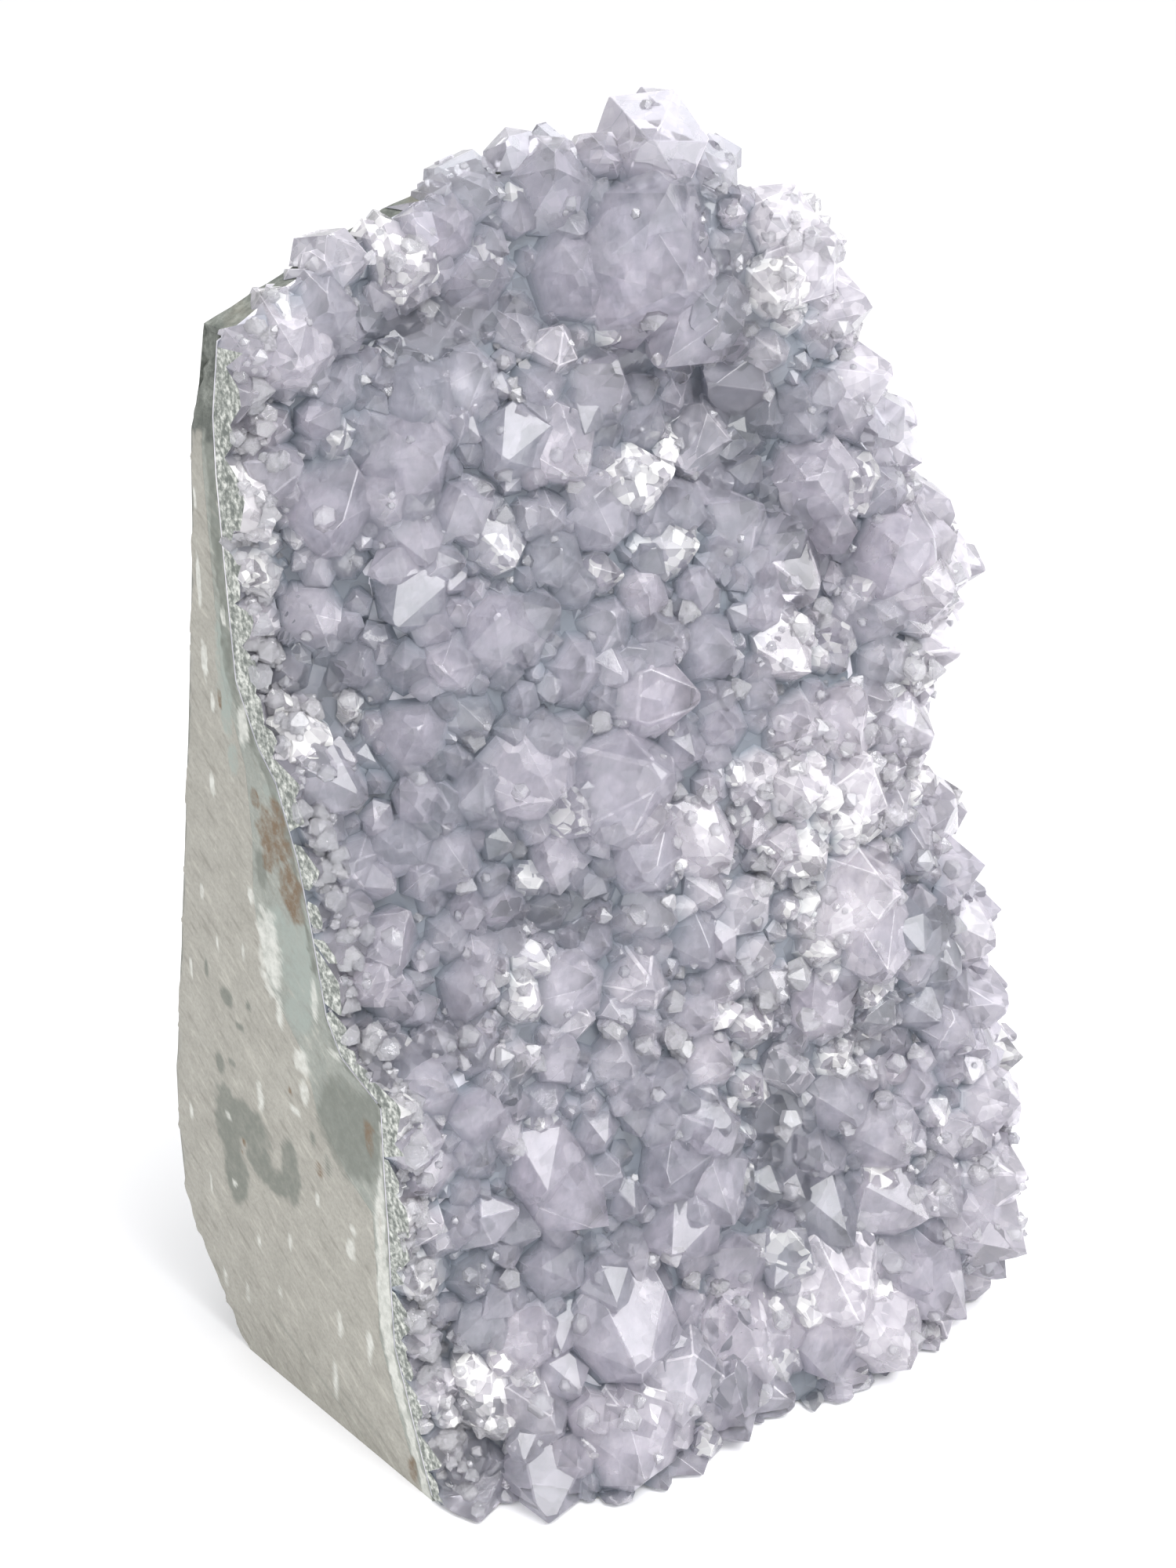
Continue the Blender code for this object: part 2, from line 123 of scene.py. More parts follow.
def rimHeight(x):
    rim = np.array(rock["rim"])
    left, right = leftEdge(rock["sideTop"]), rightEdge(rock["rightTop"])
    return np.interp(x, left + rim[:, 0] * (right - left), rim[:, 1])


def bedDepth(x, z):
    # y of the crystal bed: the sawn outline at the left fading into the leaning plane, less
    # round swells, and turned back by a square near the right edge
    inward = smoothStep((x - leftEdge(z)) / rock["blend"])
    swell = sum(out * np.exp(-(((x - midX) / wide) ** 2) - ((z - midZ) / high) ** 2)
                for midX, midZ, wide, high, out in rock["swells"])
    turned = np.clip(x - rightEdge(z) + rock["turnInside"], 0, rock["turnWidth"]) ** 2
    plane = rock["lean"] * z + rock["setback"] - swell + turned * rock["turnRate"]
    return (1 - inward) * rock["sideRun"][1] * sideDepth(z, 1) + inward * plane


def bedNormal(x, z):
    # outward direction of the bed from central differences over 3 mm
    step = 3.0
    slopeX = (bedDepth(x + step, z) - bedDepth(x - step, z)) / (2 * step)
    slopeZ = (bedDepth(x, z + step) - bedDepth(x, z - step)) / (2 * step)
    normal = np.stack((slopeX, -np.ones_like(slopeX), slopeZ), axis=-1)
    return normal / np.linalg.norm(normal, axis=-1, keepdims=True)


def growth(normal):
    # the direction in which crystals grow: the bed's normal plus a share of the front's
    toward = normal + np.array(crystals["forward"]) * crystals["forwardWeight"]
    return toward / np.linalg.norm(toward, axis=-1, keepdims=True)


# Crystals: their habit, the ones named one by one, and those that fill in
crystals = {
    "capPole": 51.8,  # degrees between the axis and the pole of a cap face of quartz
    "prismReach": (0.44, 0.55),
    "largeCap": (-0.05, 0.0),
    "smallCap": (-0.05, 0.04),
    "blunt": (0, 4, -0.1, -0.04, 36.0),  # least and most worn places of a tip, how deep, how far off it
    "habits": 16,
    "sixFaced": 0.9,
    "bevel": 0.06,
    "roundedFrom": 3.6,
    "forward": (-0.25, -0.93, 0.27),  # crystals point between the bed's normal and this
    "forwardWeight": 0.7,
    "seed": 11,
    "smallest": 6.9,
    "largest": 11.0,
    "spread": 0.86,
    "fillTries": 5000,
    "fillX": (-9.0, 86.0),
    "fillZ": (-2.0, 150.0),
    "fullWidth": 1.2,
    "headOut": 0.35,
    "headUp": 0.4,
    "sides": (2, 6),
    "sideOut": (0.42, 0.66),
    "sideWidth": (0.3, 0.6),
    "sideLow": (0.1, 0.5),
    "footShare": 0.9,
    "footBelow": 5.0,
    "eye": (-92.0, -219.0, 201.0),
    # x and z where the head is seen on the leaning front, width, tilt and its clock direction
    "named": (
        (45.5, 144.2, 9.6, 20, 275), (33.4, 141.5, 9.0, 15, 330), (45.5, 137.0, 13.5, 15, 0),
        (46.3, 129.5, 13.0, 15, 150), (14.7, 134.0, 7.5, 10, 250), (1.5, 126.5, 8.5, 10, 230),
        (5.5, 131.0, 7.0, 10, 300), (14.7, 121.4, 8.5, 10, 270), (22.2, 122.7, 7.5, 15, 60),
        (45.5, 121.8, 8.5, 45, 235), (60.5, 134.3, 8.0, 20, 280), (60.0, 126.4, 7.5, 15, 210),
        (66.0, 131.0, 9.0, 10, 30), (69.0, 124.0, 9.0, 10, 95), (71.5, 115.5, 10.0, 10, 70),
        (14.7, 114.8, 9.5, 15, 100), (24.3, 113.5, 8.0, 25, 240), (32.0, 111.3, 8.0, 30, 160),
        (46.0, 110.2, 7.5, 50, 240), (3.0, 109.3, 9.5, 15, 200), (62.0, 105.5, 10.5, 15, 300),
        (35.5, 103.5, 7.5, 20, 170), (78.5, 99.5, 9.0, 5, 80), (73.0, 96.0, 12.0, 15, 300),
        (78.0, 90.6, 10.0, 10, 150), (20.5, 96.0, 8.5, 20, 330), (58.0, 85.2, 7.0, 30, 150),
        (-1.5, 87.7, 7.0, 40, 95), (42.6, 84.3, 7.5, 50, 100), (23.8, 77.3, 11.5, 15, 150),
        (36.8, 76.0, 12.0, 20, 60), (73.0, 74.0, 10.5, 10, 135), (45.0, 66.4, 9.5, 20, 120),
        (35.5, 65.6, 8.5, 15, 230), (66.0, 56.5, 12.0, 12, 60), (76.5, 65.0, 8.5, 10, 0),
        (79.0, 56.8, 9.5, 10, 70), (26.0, 54.8, 8.5, 15, 60), (66.3, 47.7, 9.0, 30, 190),
        (56.0, 44.3, 8.5, 20, 270), (80.0, 48.0, 9.5, 10, 180), (81.0, 39.5, 9.0, 10, 120),
        (18.0, 33.5, 9.0, 20, 220), (41.3, 34.3, 7.5, 20, 90), (59.7, 31.0, 7.5, 20, 150),
        (65.5, 24.8, 9.0, 20, 150), (81.5, 26.8, 10.0, 5, 75), (66.8, 16.4, 8.0, 35, 120),
        (81.5, 17.0, 9.0, 10, 60), (80.5, 9.0, 11.0, 10, 160), (41.3, 24.0, 9.0, 20, 180),
        (34.0, 21.5, 9.0, 25, 250), (43.8, 17.7, 7.5, 30, 30), (27.2, 9.5, 13.0, 20, 200),
        (15.0, 15.2, 9.0, 15, 60), (8.0, 7.7, 7.5, 25, 170), (41.3, 9.3, 12.0, 25, 330),
        (56.3, 7.0, 12.0, 20, 180), (53.4, 0.5, 8.5, 35, 200), (71.3, 3.3, 9.5, 35, 150),
        (5.0, -2.5, 8.0, 25, 200), (14.0, -4.5, 10.0, 20, 170), (26.0, -4.0, 10.0, 20, 190),
        (40.0, -2.5, 10.0, 25, 180), (63.0, -0.5, 10.0, 25, 170),
    ),
    # smaller crystals between them: tries, least and most width, spacing, head out from the bed
    "between": ((9000, 4.0, 6.5, 0.74, 0.55), (26000, 2.6, 4.4, 0.70, 0.6), (9000, 1.8, 2.8, 0.72, 0.7)),
    "clearShare": (0.05, 0.9),  # share of clear crystals in dark and in bright places
    "clearTo": 8.5,  # wider crystals are never clear
    "underside": 0.5,  # crystals end this far above the floor
}

# How pale or grey the crystals are, painted light and shade included: x and z on the leaning
# front, half width and height, and by how much paler (plus) or greyer (minus). The greyer places
# are painted shade over the hollows and gaps of the bed; the paler ones are partly whiter
# crystals and partly painted highlight where crystals glint
toneAndPaintedLight = {
    "heads": [],
    "middle": 0.42,
    "chance": 0.1,
    "places": (
        (-5, 110, 4, 8, 0.5), (0, 128, 7, 6, 0.3), (14, 135, 8, 4, 0.3), (35, 126, 4, 3, 0.3),
        (27, 124, 5, 3, 0.25), (60, 128, 5, 7, 0.35), (67, 134, 6, 6, 0.3), (70, 117, 5, 6, 0.3),
        (16, 127, 7, 4, -0.4), (10, 118, 9, 7, -0.2), (38, 116, 6, 4, -0.3), (34, 110, 4, 3, 0.3),
        (44, 110, 6, 3, 0.3), (54, 111, 6, 9, -0.4), (63, 112, 5, 6, -0.2), (59, 87, 4, 7, 0.35),
        (56, 74, 6, 4, 0.4), (67, 68, 8, 6, 0.4), (80, 95, 5, 12, 0.3), (42, 68, 7, 6, 0.35),
        (63, 55, 8, 8, 0.4), (-1, 88, 6, 4, 0.45), (17, 54, 3, 8, 0.4), (43, 45, 8, 4, 0.3),
        (62, 37, 8, 4, 0.25), (19, 33, 5, 5, 0.15), (7, 10, 7, 5, 0.45), (29, 0, 8, 4, 0.25),
        (58, 6, 8, 5, 0.35), (43, 8, 6, 6, 0.2), (72, 22, 7, 8, 0.25), (84, 16, 6, 8, 0.35),
        (6, 98, 8, 6, -0.2), (17, 85, 10, 8, -0.25), (22, 65, 10, 5, -0.25), (73, 52, 4, 9, -0.3),
        (14, 26, 10, 7, -0.25), (36, 32, 8, 5, -0.2), (52, 29, 8, 7, -0.3), (45, 100, 14, 6, -0.1),
        (33, 138, 8, 8, -0.2), (46, 135, 8, 7, -0.1), (54, 141, 6, 4, -0.3), (8, 78, 6, 8, -0.2),
        (46, 145, 4, 4, 0.1), (27, 122, 10, 4, 0.1), (60, 72, 12, 12, 0.2), (62, 126, 8, 9, 0.1),
        (25, 115.4, 3, 3, -0.3), (21, 105.4, 3, 3, -0.3), (43, 101, 3, 3, -0.3), (59.5, 96, 3, 3, -0.3),
        (12, 102, 3, 3, -0.25), (34, 76, 4, 4, -0.2), (59, 79.5, 3, 3, -0.3), (3.7, 126, 3, 3, -0.2),
        (55, 15, 5, 6, -0.3), (43, 121.7, 3, 2, 0.3), (-7, 111, 3, 9, 0.3), (41, 62.4, 4, 3, 0.2),
        (57, 53.6, 4, 4, 0.3), (59, 38, 4, 4, 0.25), (63.4, 46.5, 4, 4, 0.2), (1, 33, 4, 14, 0.35),
        (38.5, 15, 3, 4, 0.25), (17.6, 64, 4, 3, 0.15), (44, 38, 4, 4, 0.25), (66, 1, 5, 4, 0.3),
        (50, 50, 5, 4, 0.15), (74.6, 59, 3, 4, 0.2), (4.4, 8, 6, 5, 0.2),
        (54, 62, 7, 5, 0.15), (75, 78, 6, 10, 0.1), (28, 88, 16, 10, -0.08), (47, 128, 12, 14, -0.06),
    ),
}


def toneAndPaintedLightAt(x, z):
    # the crystals' tone with its painted light and shade: a sum of round hills and dips over the middle value
    return toneAndPaintedLight["middle"] + sum(more * np.exp(-(((x - midX) / wide) ** 2) - ((z - midZ) / high) ** 2)
                                  for midX, midZ, wide, high, more in toneAndPaintedLight["places"])


def seenPlace(head):
    # x and z where a point's line from the eye meets the leaning plane
    eye = np.array(crystals["eye"])
    sight = head - eye
    share = (rock["lean"] * eye[2] - eye[1]) / (sight[..., 1] - rock["lean"] * sight[..., 2])
    place = eye + sight * share[..., None]
    return place[..., 0], place[..., 2]


def crystalCorners(rng):
    # corners of one crystal of unit width with its tip at the origin: every point where three
    # of its planes meet (six prism faces, six cap faces, a foot and a few worn places near the
    # tip) that no other plane cuts off
    turns = np.arange(6) * np.pi / 3
    flat = np.stack((np.cos(turns), np.sin(turns), np.zeros(6)), axis=1)
    pole = np.radians(crystals["capPole"])
    prismReach = rng.uniform(*crystals["prismReach"], 6)
    cap = flat * np.sin(pole) + (0, 0, np.cos(pole))
    sixFaced = rng.uniform() < crystals["sixFaced"]
    smallReach = rng.uniform(*crystals["smallCap"], 6) if sixFaced else np.ones(6)
    capReach = np.where(np.arange(6) % 2, smallReach, rng.uniform(*crystals["largeCap"], 6))
    least, most, deep, shallow, spread = crystals["blunt"]
    count = rng.integers(least, most)
    off, around = np.radians(rng.uniform(0, spread, count)), rng.uniform(0, 2 * np.pi, count)
    worn = np.stack((np.sin(off) * np.cos(around), np.sin(off) * np.sin(around), np.cos(off)), axis=1)
    normals = np.concatenate((flat, cap, ((0, 0, -1.0),), worn))
    reach = np.concatenate((prismReach, capReach, (1.0,), rng.uniform(deep, shallow, count)))
    planes = range(len(reach))
    trios = np.array([(a, b, c) for a in planes for b in range(a) for c in range(b)])
    square = np.abs(np.linalg.det(normals[trios])) > 0.01
    meets = np.linalg.solve(normals[trios[square]], reach[trios[square]][..., None])[..., 0]
    inside = (meets @ normals.T <= reach + 1e-9).all(axis=1)
    return np.unique(np.round(meets[inside], 6), axis=0)


def crystalShape(corners, bevel):
    # the hull of the corners, flat neighbours merged and the edges rounded: points, polygons
    # and a painted highlight for the polygons on a rounded edge, weaker near the tip
    mesh = bmesh.new()
    for corner in corners:
        mesh.verts.new(corner)
    bmesh.ops.convex_hull(mesh, input=mesh.verts)
    bmesh.ops.dissolve_limit(mesh, angle_limit=0.02, verts=mesh.verts, edges=mesh.edges)
    rounded = set()
    if bevel:
        worn = [edge for edge in mesh.edges if max(vert.co.z for vert in edge.verts) > -0.9]
        made = bmesh.ops.bevel(mesh, geom=worn, offset=bevel, segments=2, profile=0.5, affect="EDGES",
                               clamp_overlap=True, offset_type="OFFSET")
        rounded = set(made["faces"])
    mesh.verts.index_update()
    points = np.array([vert.co[:] for vert in mesh.verts])
    polygons = [[vert.index for vert in face.verts] for face in mesh.faces]
    edgeHighlight = np.array([(face in rounded) * (0.2 if face.calc_center_median().xy.length < 0.34 else 1)
                       for face in mesh.faces], np.float32)
    mesh.free()
    return points, polygons, edgeHighlight


def aimed(normal, tilt, clock):
    # the bed's outward direction tilted toward a clock direction, both in degrees
    up = np.array((0, 0, 1.0)) - normal * normal[2]
    up /= np.linalg.norm(up)
    side = np.cross(up, normal)
    tilt, clock = np.radians(tilt), np.radians(clock)
    return normal * np.cos(tilt) + (up * np.cos(clock) + side * np.sin(clock)) * np.sin(tilt)


def seenHead(x, z, out):
    # slides from a place of the leaning front toward the eye until it stands out of the bed
    place = np.array((x, rock["lean"] * z, z))
    sight = np.array(crystals["eye"]) - place
    sight /= np.linalg.norm(sight)
    near = 0.0
    for _ in range(12):
        head = place + sight * near
        near += (head[1] - bedDepth(head[0], head[2]) + out) * 0.8
    return place + sight * near


def largeCrystals():
    # head, axis, width, spin and habit of the crystals that the solid has too
    rng = np.random.default_rng(crystals["seed"])
    found = []
    for x, z, width, tilt, clock in crystals["named"]:
        head = seenHead(x, z, crystals["headOut"] * width + 1)
        axis = aimed(growth(bedNormal(head[0], head[2])), tilt, clock)
        found.append((head, axis, width, rng.uniform(0, 2 * np.pi), rng.integers(crystals["habits"])))
    for _ in range(crystals["fillTries"]):
        x, z = rng.uniform(*crystals["fillX"]), rng.uniform(*crystals["fillZ"])
        size, clock = rng.uniform(), rng.uniform(0, 360)
        tilt, spin = abs(rng.normal(0, 20)), rng.uniform(0, 2 * np.pi)
        habit = rng.integers(crystals["habits"])
        edge = x - leftEdge(z)
        if edge < 1.5 or x > rightEdge(z) + 3 or z > rimHeight(x) - 1:
            continue
        spare = crystals["largest"] - crystals["smallest"]
        width = crystals["smallest"] + spare * size**2.2 * min(edge / 18, 1)
        normal = bedNormal(x, z)
        head = np.array((x, bedDepth(x, z), z)) + normal * crystals["headOut"] * width
        spaces = [np.linalg.norm(head - other[0]) / (width + other[2]) for other in found]
        if min(spaces) > crystals["spread"] / 2:
            found.append((head, aimed(growth(normal), min(tilt, 45), clock), width, spin, habit))
    return found


def sideCrystals(found):
    # each large crystal carries a few smaller ones in nearly its own direction, set to its side
    # and lower, as crystals of one growth do
    rng = np.random.default_rng(crystals["seed"] + 3)
    added = []
    for head, axis, width, spin, habit in found:
        side = np.cross(axis, (0.3, 0.2, 0.93))
        side /= np.linalg.norm(side)
        other = np.cross(axis, side)
        for _ in range(rng.integers(*crystals["sides"])):
            turn, out = rng.uniform(0, 2 * np.pi), rng.uniform(*crystals["sideOut"]) * width
            away = side * np.cos(turn) + other * np.sin(turn)
            size = width * rng.uniform(*crystals["sideWidth"])
            lean = axis + away * rng.uniform(-0.05, 0.35) + rng.normal(0, 0.06, 3)
            low = rng.uniform(*crystals["sideLow"]) * width
            added.append((head + away * out - axis * low, lean / np.linalg.norm(lean), size,
                          spin + rng.normal(0, 0.1), rng.integers(crystals["habits"])))
    return added


def smallCrystals(found):
    # fills the room between crystals, larger ones first, each clear of the heads before it
    rng = np.random.default_rng(crystals["seed"] + 5)
    heads = np.zeros((6000, 3))
    widths = np.zeros(6000)
    count = len(found)
    heads[:count] = [one[0] for one in found]
    widths[:count] = [one[2] for one in found]
    added = []
    for tries, least, most, spread, headOut in crystals["between"]:
        x = rng.uniform(*crystals["fillX"], tries)
        z = rng.uniform(*crystals["fillZ"], tries)
        width = rng.uniform(least, most, tries)
        keep = (x > leftEdge(z) - 0.4) & (x < rightEdge(z) + 1) & (z < rimHeight(x) - 0.5)
        x, z, width = x[keep], z[keep], width[keep]
        normal = bedNormal(x, z)
        head = np.stack((x, bedDepth(x, z), z), axis=-1) + normal * (headOut * width + 0.5)[:, None]
        tilt = np.minimum(abs(rng.normal(0, 30, len(x))), 60)
        clock = rng.uniform(0, 360, len(x))
        nearRight = smoothStep((x - rightEdge(z) + 9) / 9)[:, None]
        axis = growth(normal + np.array(crystals["forward"]) * nearRight)
        for at in range(len(x)):
            gaps = np.linalg.norm(heads[:count] - head[at], axis=1)
            if count < len(heads) and (gaps > spread * (widths[:count] + width[at]) / 2).all():
                heads[count], widths[count] = head[at], width[at]
                count += 1
                spin, habit = rng.uniform(0, 2 * np.pi), rng.integers(crystals["habits"])
                added.append((head[at], aimed(axis[at], tilt[at], clock[at]), width[at], spin, habit))
    return added


def newObject(name, points, polygons):
    # a mesh object from points in millimetres, with the frame's origin under the base's middle
    placed = (np.asarray(points, float) - baseCentre) * mm
    mesh = bpy.data.meshes.new(name)
    mesh.from_pydata(placed.tolist(), [], polygons)
    piece = bpy.data.objects.new(name, mesh)
    bpy.context.scene.collection.objects.link(piece)
    return piece


def setFaces(piece, **values):
    # keeps named values on every face of a piece, one for all or one for each
    count = len(piece.data.polygons)
    for name, value in values.items():
        layer = piece.data.attributes.new(name, "FLOAT", "FACE")
        layer.data.foreach_set("value", np.broadcast_to(np.float32(value), count).copy())


def pointsOf(piece):
    # the points of a piece in millimetres from the front left corner of the base
    flat = np.empty(len(piece.data.vertices) * 3)
    piece.data.vertices.foreach_get("co", flat)
    return flat.reshape(-1, 3) / mm + baseCentre


def faceValues(piece, name, width):
    # a value of every face as one array
    flat = np.empty(len(piece.data.polygons) * width)
    piece.data.polygons.foreach_get(name, flat)
    return flat.reshape(-1, width)


def setPoints(piece, name, values):
    layer = piece.data.attributes.new(name, "FLOAT", "POINT")
    layer.data.foreach_set("value", np.ascontiguousarray(values, np.float32))


def crystalObjects(placed):
    rng = np.random.default_rng(crystals["seed"] + 1)
    corners = [crystalCorners(rng) for _ in range(crystals["habits"])]
    rounded = [crystalShape(one, crystals["bevel"]) for one in corners]
    sharp = [crystalShape(one, 0) for one in corners]
    made = []
    limit = np.array(cadBox[1]) / mm + baseCentre - 0.3  # crystals past it are moved back inside
    for head, axis, width, spin, habit in placed:
        shape, polygons, edgeHighlight = (rounded if width > crystals["roundedFrom"] else sharp)[habit]
        side = np.cross(axis, (0.3, 0.2, 0.93))
        side /= np.linalg.norm(side)
        turned = side * np.cos(spin) + np.cross(axis, side) * np.sin(spin)
        local = shape * width * crystals["fullWidth"]
        local[shape[:, 2] < -0.99, 2] = -width * crystals["footShare"] - crystals["footBelow"]
        frameOf = np.stack((turned, np.cross(axis, turned), axis))
        tip = head + axis * width * crystals["headUp"]
        points = tip + local @ frameOf
        piece = newObject("crystal", points - np.maximum(points.max(axis=0) - limit, 0) * (1, 0, 1), polygons)
        large = smoothStep((width - 6.5) / 3)
        # tone of the crystal from the map of painted light and shade, a little off at random; where it is bright,
        # crystals are more often clear (carrying painted reflections) and milkier
        shade = np.clip(toneAndPaintedLightAt(*seenPlace(head)) + rng.normal(0, toneAndPaintedLight["chance"]), 0, 1 - 0.25 * large)
        fewest, most = crystals["clearShare"]
        clear = float(rng.uniform() < fewest + (most - fewest) * smoothStep((shade - 0.5) * 2.5))
        clear *= width < crystals["clearTo"]
        rim = max(head[0] - rightEdge(head[2]) + 4, head[2] - rimHeight(head[0]) + 4, 0) / 8
        milky = rng.uniform(0, 0.4) + 0.4 * smoothStep((shade - 0.5) * 3) * rng.uniform() + min(rim * 1.6, 0.9)
        tint = max(rng.uniform(), 0.8 * large)
        setFaces(piece, tone=shade, edge=edgeHighlight, tint=tint, clear=clear, milky=milky * (1 - 0.7 * clear))
        made.append(piece)
        toneAndPaintedLight["heads"].append((*head, width, shade))
    return made


# The crust's floor, and the room that is kept free for the rock behind it
crust = {"floor": 1.2, "edgeFloor": 0.35, "gap": 0.3, "lip": 3.0, "reach": 20.0, "margin": 8.0, "roomDepth": 70.0}


def frontGrid(columns, rows=None):
    # the bed on a grid of two parameters, up the height and across the width
    side = np.array(rock["sideRows"])[:, 0] / rock["sideTop"] if rows is None else np.linspace(0, 1, rows)
    rim = np.array(rock["rim"])
    up, across = np.meshgrid(side, np.linspace(0, 1, columns), indexing="ij")
    z = up * np.interp(across, rim[:, 0], rim[:, 1])
    left = leftEdge(up * rock["sideTop"])
    x = left + across * (rightEdge(up * rock["rightTop"]) - left)
    return np.stack((x, bedDepth(x, z), z), axis=-1), across, up


def runBack(across):
    # direction back into the rock, turning from the sawn side's to the right side's
    xPart = rock["sideRun"][0] * (1 - across) + rock["rightRun"][0] * across
    return np.stack((xPart, np.full_like(across, rock["sideRun"][1]), np.zeros_like(across)), axis=-1)


def cleared(grid, across, gap):
    # the grid moved back by a gap square to each column, its lowest row kept level
    along = np.gradient(grid, axis=0)
    along = along / np.linalg.norm(along[..., 1:], axis=-1, keepdims=True)
    run = runBack(across)
    moved = grid + run * (gap * along[..., 2] / run[..., 1])[..., None]
    moved[1:, :, 2] -= gap * along[1:, :, 1]
    return moved


def roomSheet(grid, run):
    # the grid carried on past the rock's edges, so that crystals wrap them by a lip only
    lip, gap, reach = run[-1:] * crust["lip"], crust["gap"], crust["reach"]
    over = ((0, 0, gap), lip + (0, 0, gap), lip + (0, rock["lean"] * reach, reach))
    grid = np.concatenate([grid[:1] - (0, 0, crust["margin"]), grid] + [grid[-1:] + step for step in over])
    roundRight = ((gap, 0, 0), (gap + crust["lip"] * 0.5, crust["lip"], 0), (reach, reach, 0))
    left = grid[:, :1] - (crust["margin"], 0, 0)
    return np.concatenate([left, grid] + [grid[:, -1:] + step for step in roundRight], axis=1)


def ringSolid(name, front, back, middle=(), sawn=()):
    # a closed solid between two grids: each row is a ring along the front, round by the middle
    # grids, back along the back and home down the sawn side; the end rings are capped
    ring = np.concatenate([front, *middle, back[:, ::-1], *sawn], axis=1)
    rows, count = ring.shape[:2]
    columns = front.shape[1]
    home = count - 1 - sum(grid.shape[1] for grid in sawn)
    low, col = np.meshgrid(np.arange(rows - 1) * count, np.arange(count), indexing="ij")
    nxt = (col + 1) % count
    a, b, c, d = low + col, low + nxt, low + nxt + count, low + col + count
    plain = np.stack((a, b, c, a, c, d), axis=-1)
    crossed = np.stack((a, b, d, b, c, d), axis=-1)
    faces = np.where((col < columns)[..., None], plain, crossed).reshape(-1, 3).tolist()
    for start, turn in ((0, -1), ((rows - 1) * count, 1)):
        for at in range(columns - 1):
            far = home - at
            faces.append([start + k for k in (at, at + 1, far)[::turn]])
            faces.append([start + k for k in (at + 1, far - 1, far)[::turn]])
        for at in range(columns, home - columns + 1):
            faces.append([start + k for k in (columns - 1, at, at + 1)[::turn]])
        for at in range(home, count - 1):
            faces.append([start + k for k in (0, at, at + 1)[::turn]])
    return newObject(name, ring.reshape(-1, 3), faces)


def boolean(piece, others, operation):
    # one Boolean with all the other solids at once, applied, and the others removed
    group = bpy.data.collections.new("others")
    for other in others:
        group.objects.link(other)
    modifier = piece.modifiers.new("join", "BOOLEAN")
    modifier.operation = operation
    modifier.solver = "MANIFOLD"
    modifier.operand_type = "COLLECTION"
    modifier.collection = group
    graph = bpy.context.evaluated_depsgraph_get()
    mesh = bpy.data.meshes.new_from_object(piece.evaluated_get(graph))
    piece.modifiers.clear()
    piece.data = mesh
    for other in others:
        bpy.data.objects.remove(other, do_unlink=True)
    bpy.data.collections.remove(group)


def block(name, low, high, turn=None):
    corners = np.array([(x, y, z) for z in (low[2], high[2]) for y in (low[1], high[1])
                        for x in (low[0], high[0])], float)
    if turn is not None:
        corners[:, :2] = corners[:, :2] @ turn
    faces = [(0, 2, 3, 1), (4, 5, 7, 6), (0, 1, 5, 4), (2, 6, 7, 3), (0, 4, 6, 2), (1, 3, 7, 5)]
    return newObject(name, corners, faces)


def makeCrust():
    front, across, up = frontGrid(8)
    run = runBack(across)
    floor = crust["edgeFloor"] + (crust["floor"] - crust["edgeFloor"]) * smoothStep(across * 12)
    piece = ringSolid("amethystCrystals", front - run * floor[..., None], front + run)
    setFaces(piece, tone=0.3, edge=0, tint=0.5, clear=0, milky=0.2)
    placed = largeCrystals()
    placed += sideCrystals(placed)
    placed += smallCrystals(placed)
    print("crystals", len(placed))
    made = crystalObjects(placed)
    report("crystals placed")
    boolean(piece, made, "UNION")
    report("crystals joined")
    room = roomSheet(cleared(front, across, -crust["gap"]), run)
    sideRun = rock["sideRun"]
    turn = np.array(((sideRun[1], -sideRun[0]), sideRun))
    boolean(piece, [
        ringSolid("roomForRock", room, room + (0, crust["roomDepth"], 0)),
        block("leftOfSaw", (-80, -80, -40), (0, 120, 220), turn),
        block("underBase", (-60, -80, -60), (160, 120, crystals["underside"])),
    ], "DIFFERENCE")
    centre = faceValues(piece, "center", 3) / mm + baseCentre
    inward = abs(centre[:, 0] * sideRun[1] - centre[:, 1] * sideRun[0])
    setFaces(piece, sawn=np.where((inward < 0.02) & (faceValues(piece, "normal", 3)[:, 0] < -0.9), 1.0, 0.0))
    points = pointsOf(piece)
    x, z = points[:, 0], points[:, 2]
    # rise: how far each point stands out of the bed, kept high near the rim and right edge; the material paints shade
    # on the low parts between the crystals
    beyond = np.maximum(z - rimHeight(x), x - rightEdge(z)) + 2.5
    setPoints(piece, "rise", np.clip(np.maximum(bedDepth(x, z) - points[:, 1], beyond), 0, 12) / 12)
    piece.data.shade_smooth()
    piece.data.set_sharp_from_angle(angle=np.radians(30))
    evened = piece.modifiers.new("evened", "WEIGHTED_NORMAL")
    evened.keep_sharp = True
    return piece


# Tiny crystals that grew last, on the flanks and in the gaps of the others
tiny = {
    "count": 700, "leftCount": 520, "leftWidth": 4.0,
    "widths": (0.8, 2.8), "forward": 0.5, "habits": 8, "seed": 5,
}


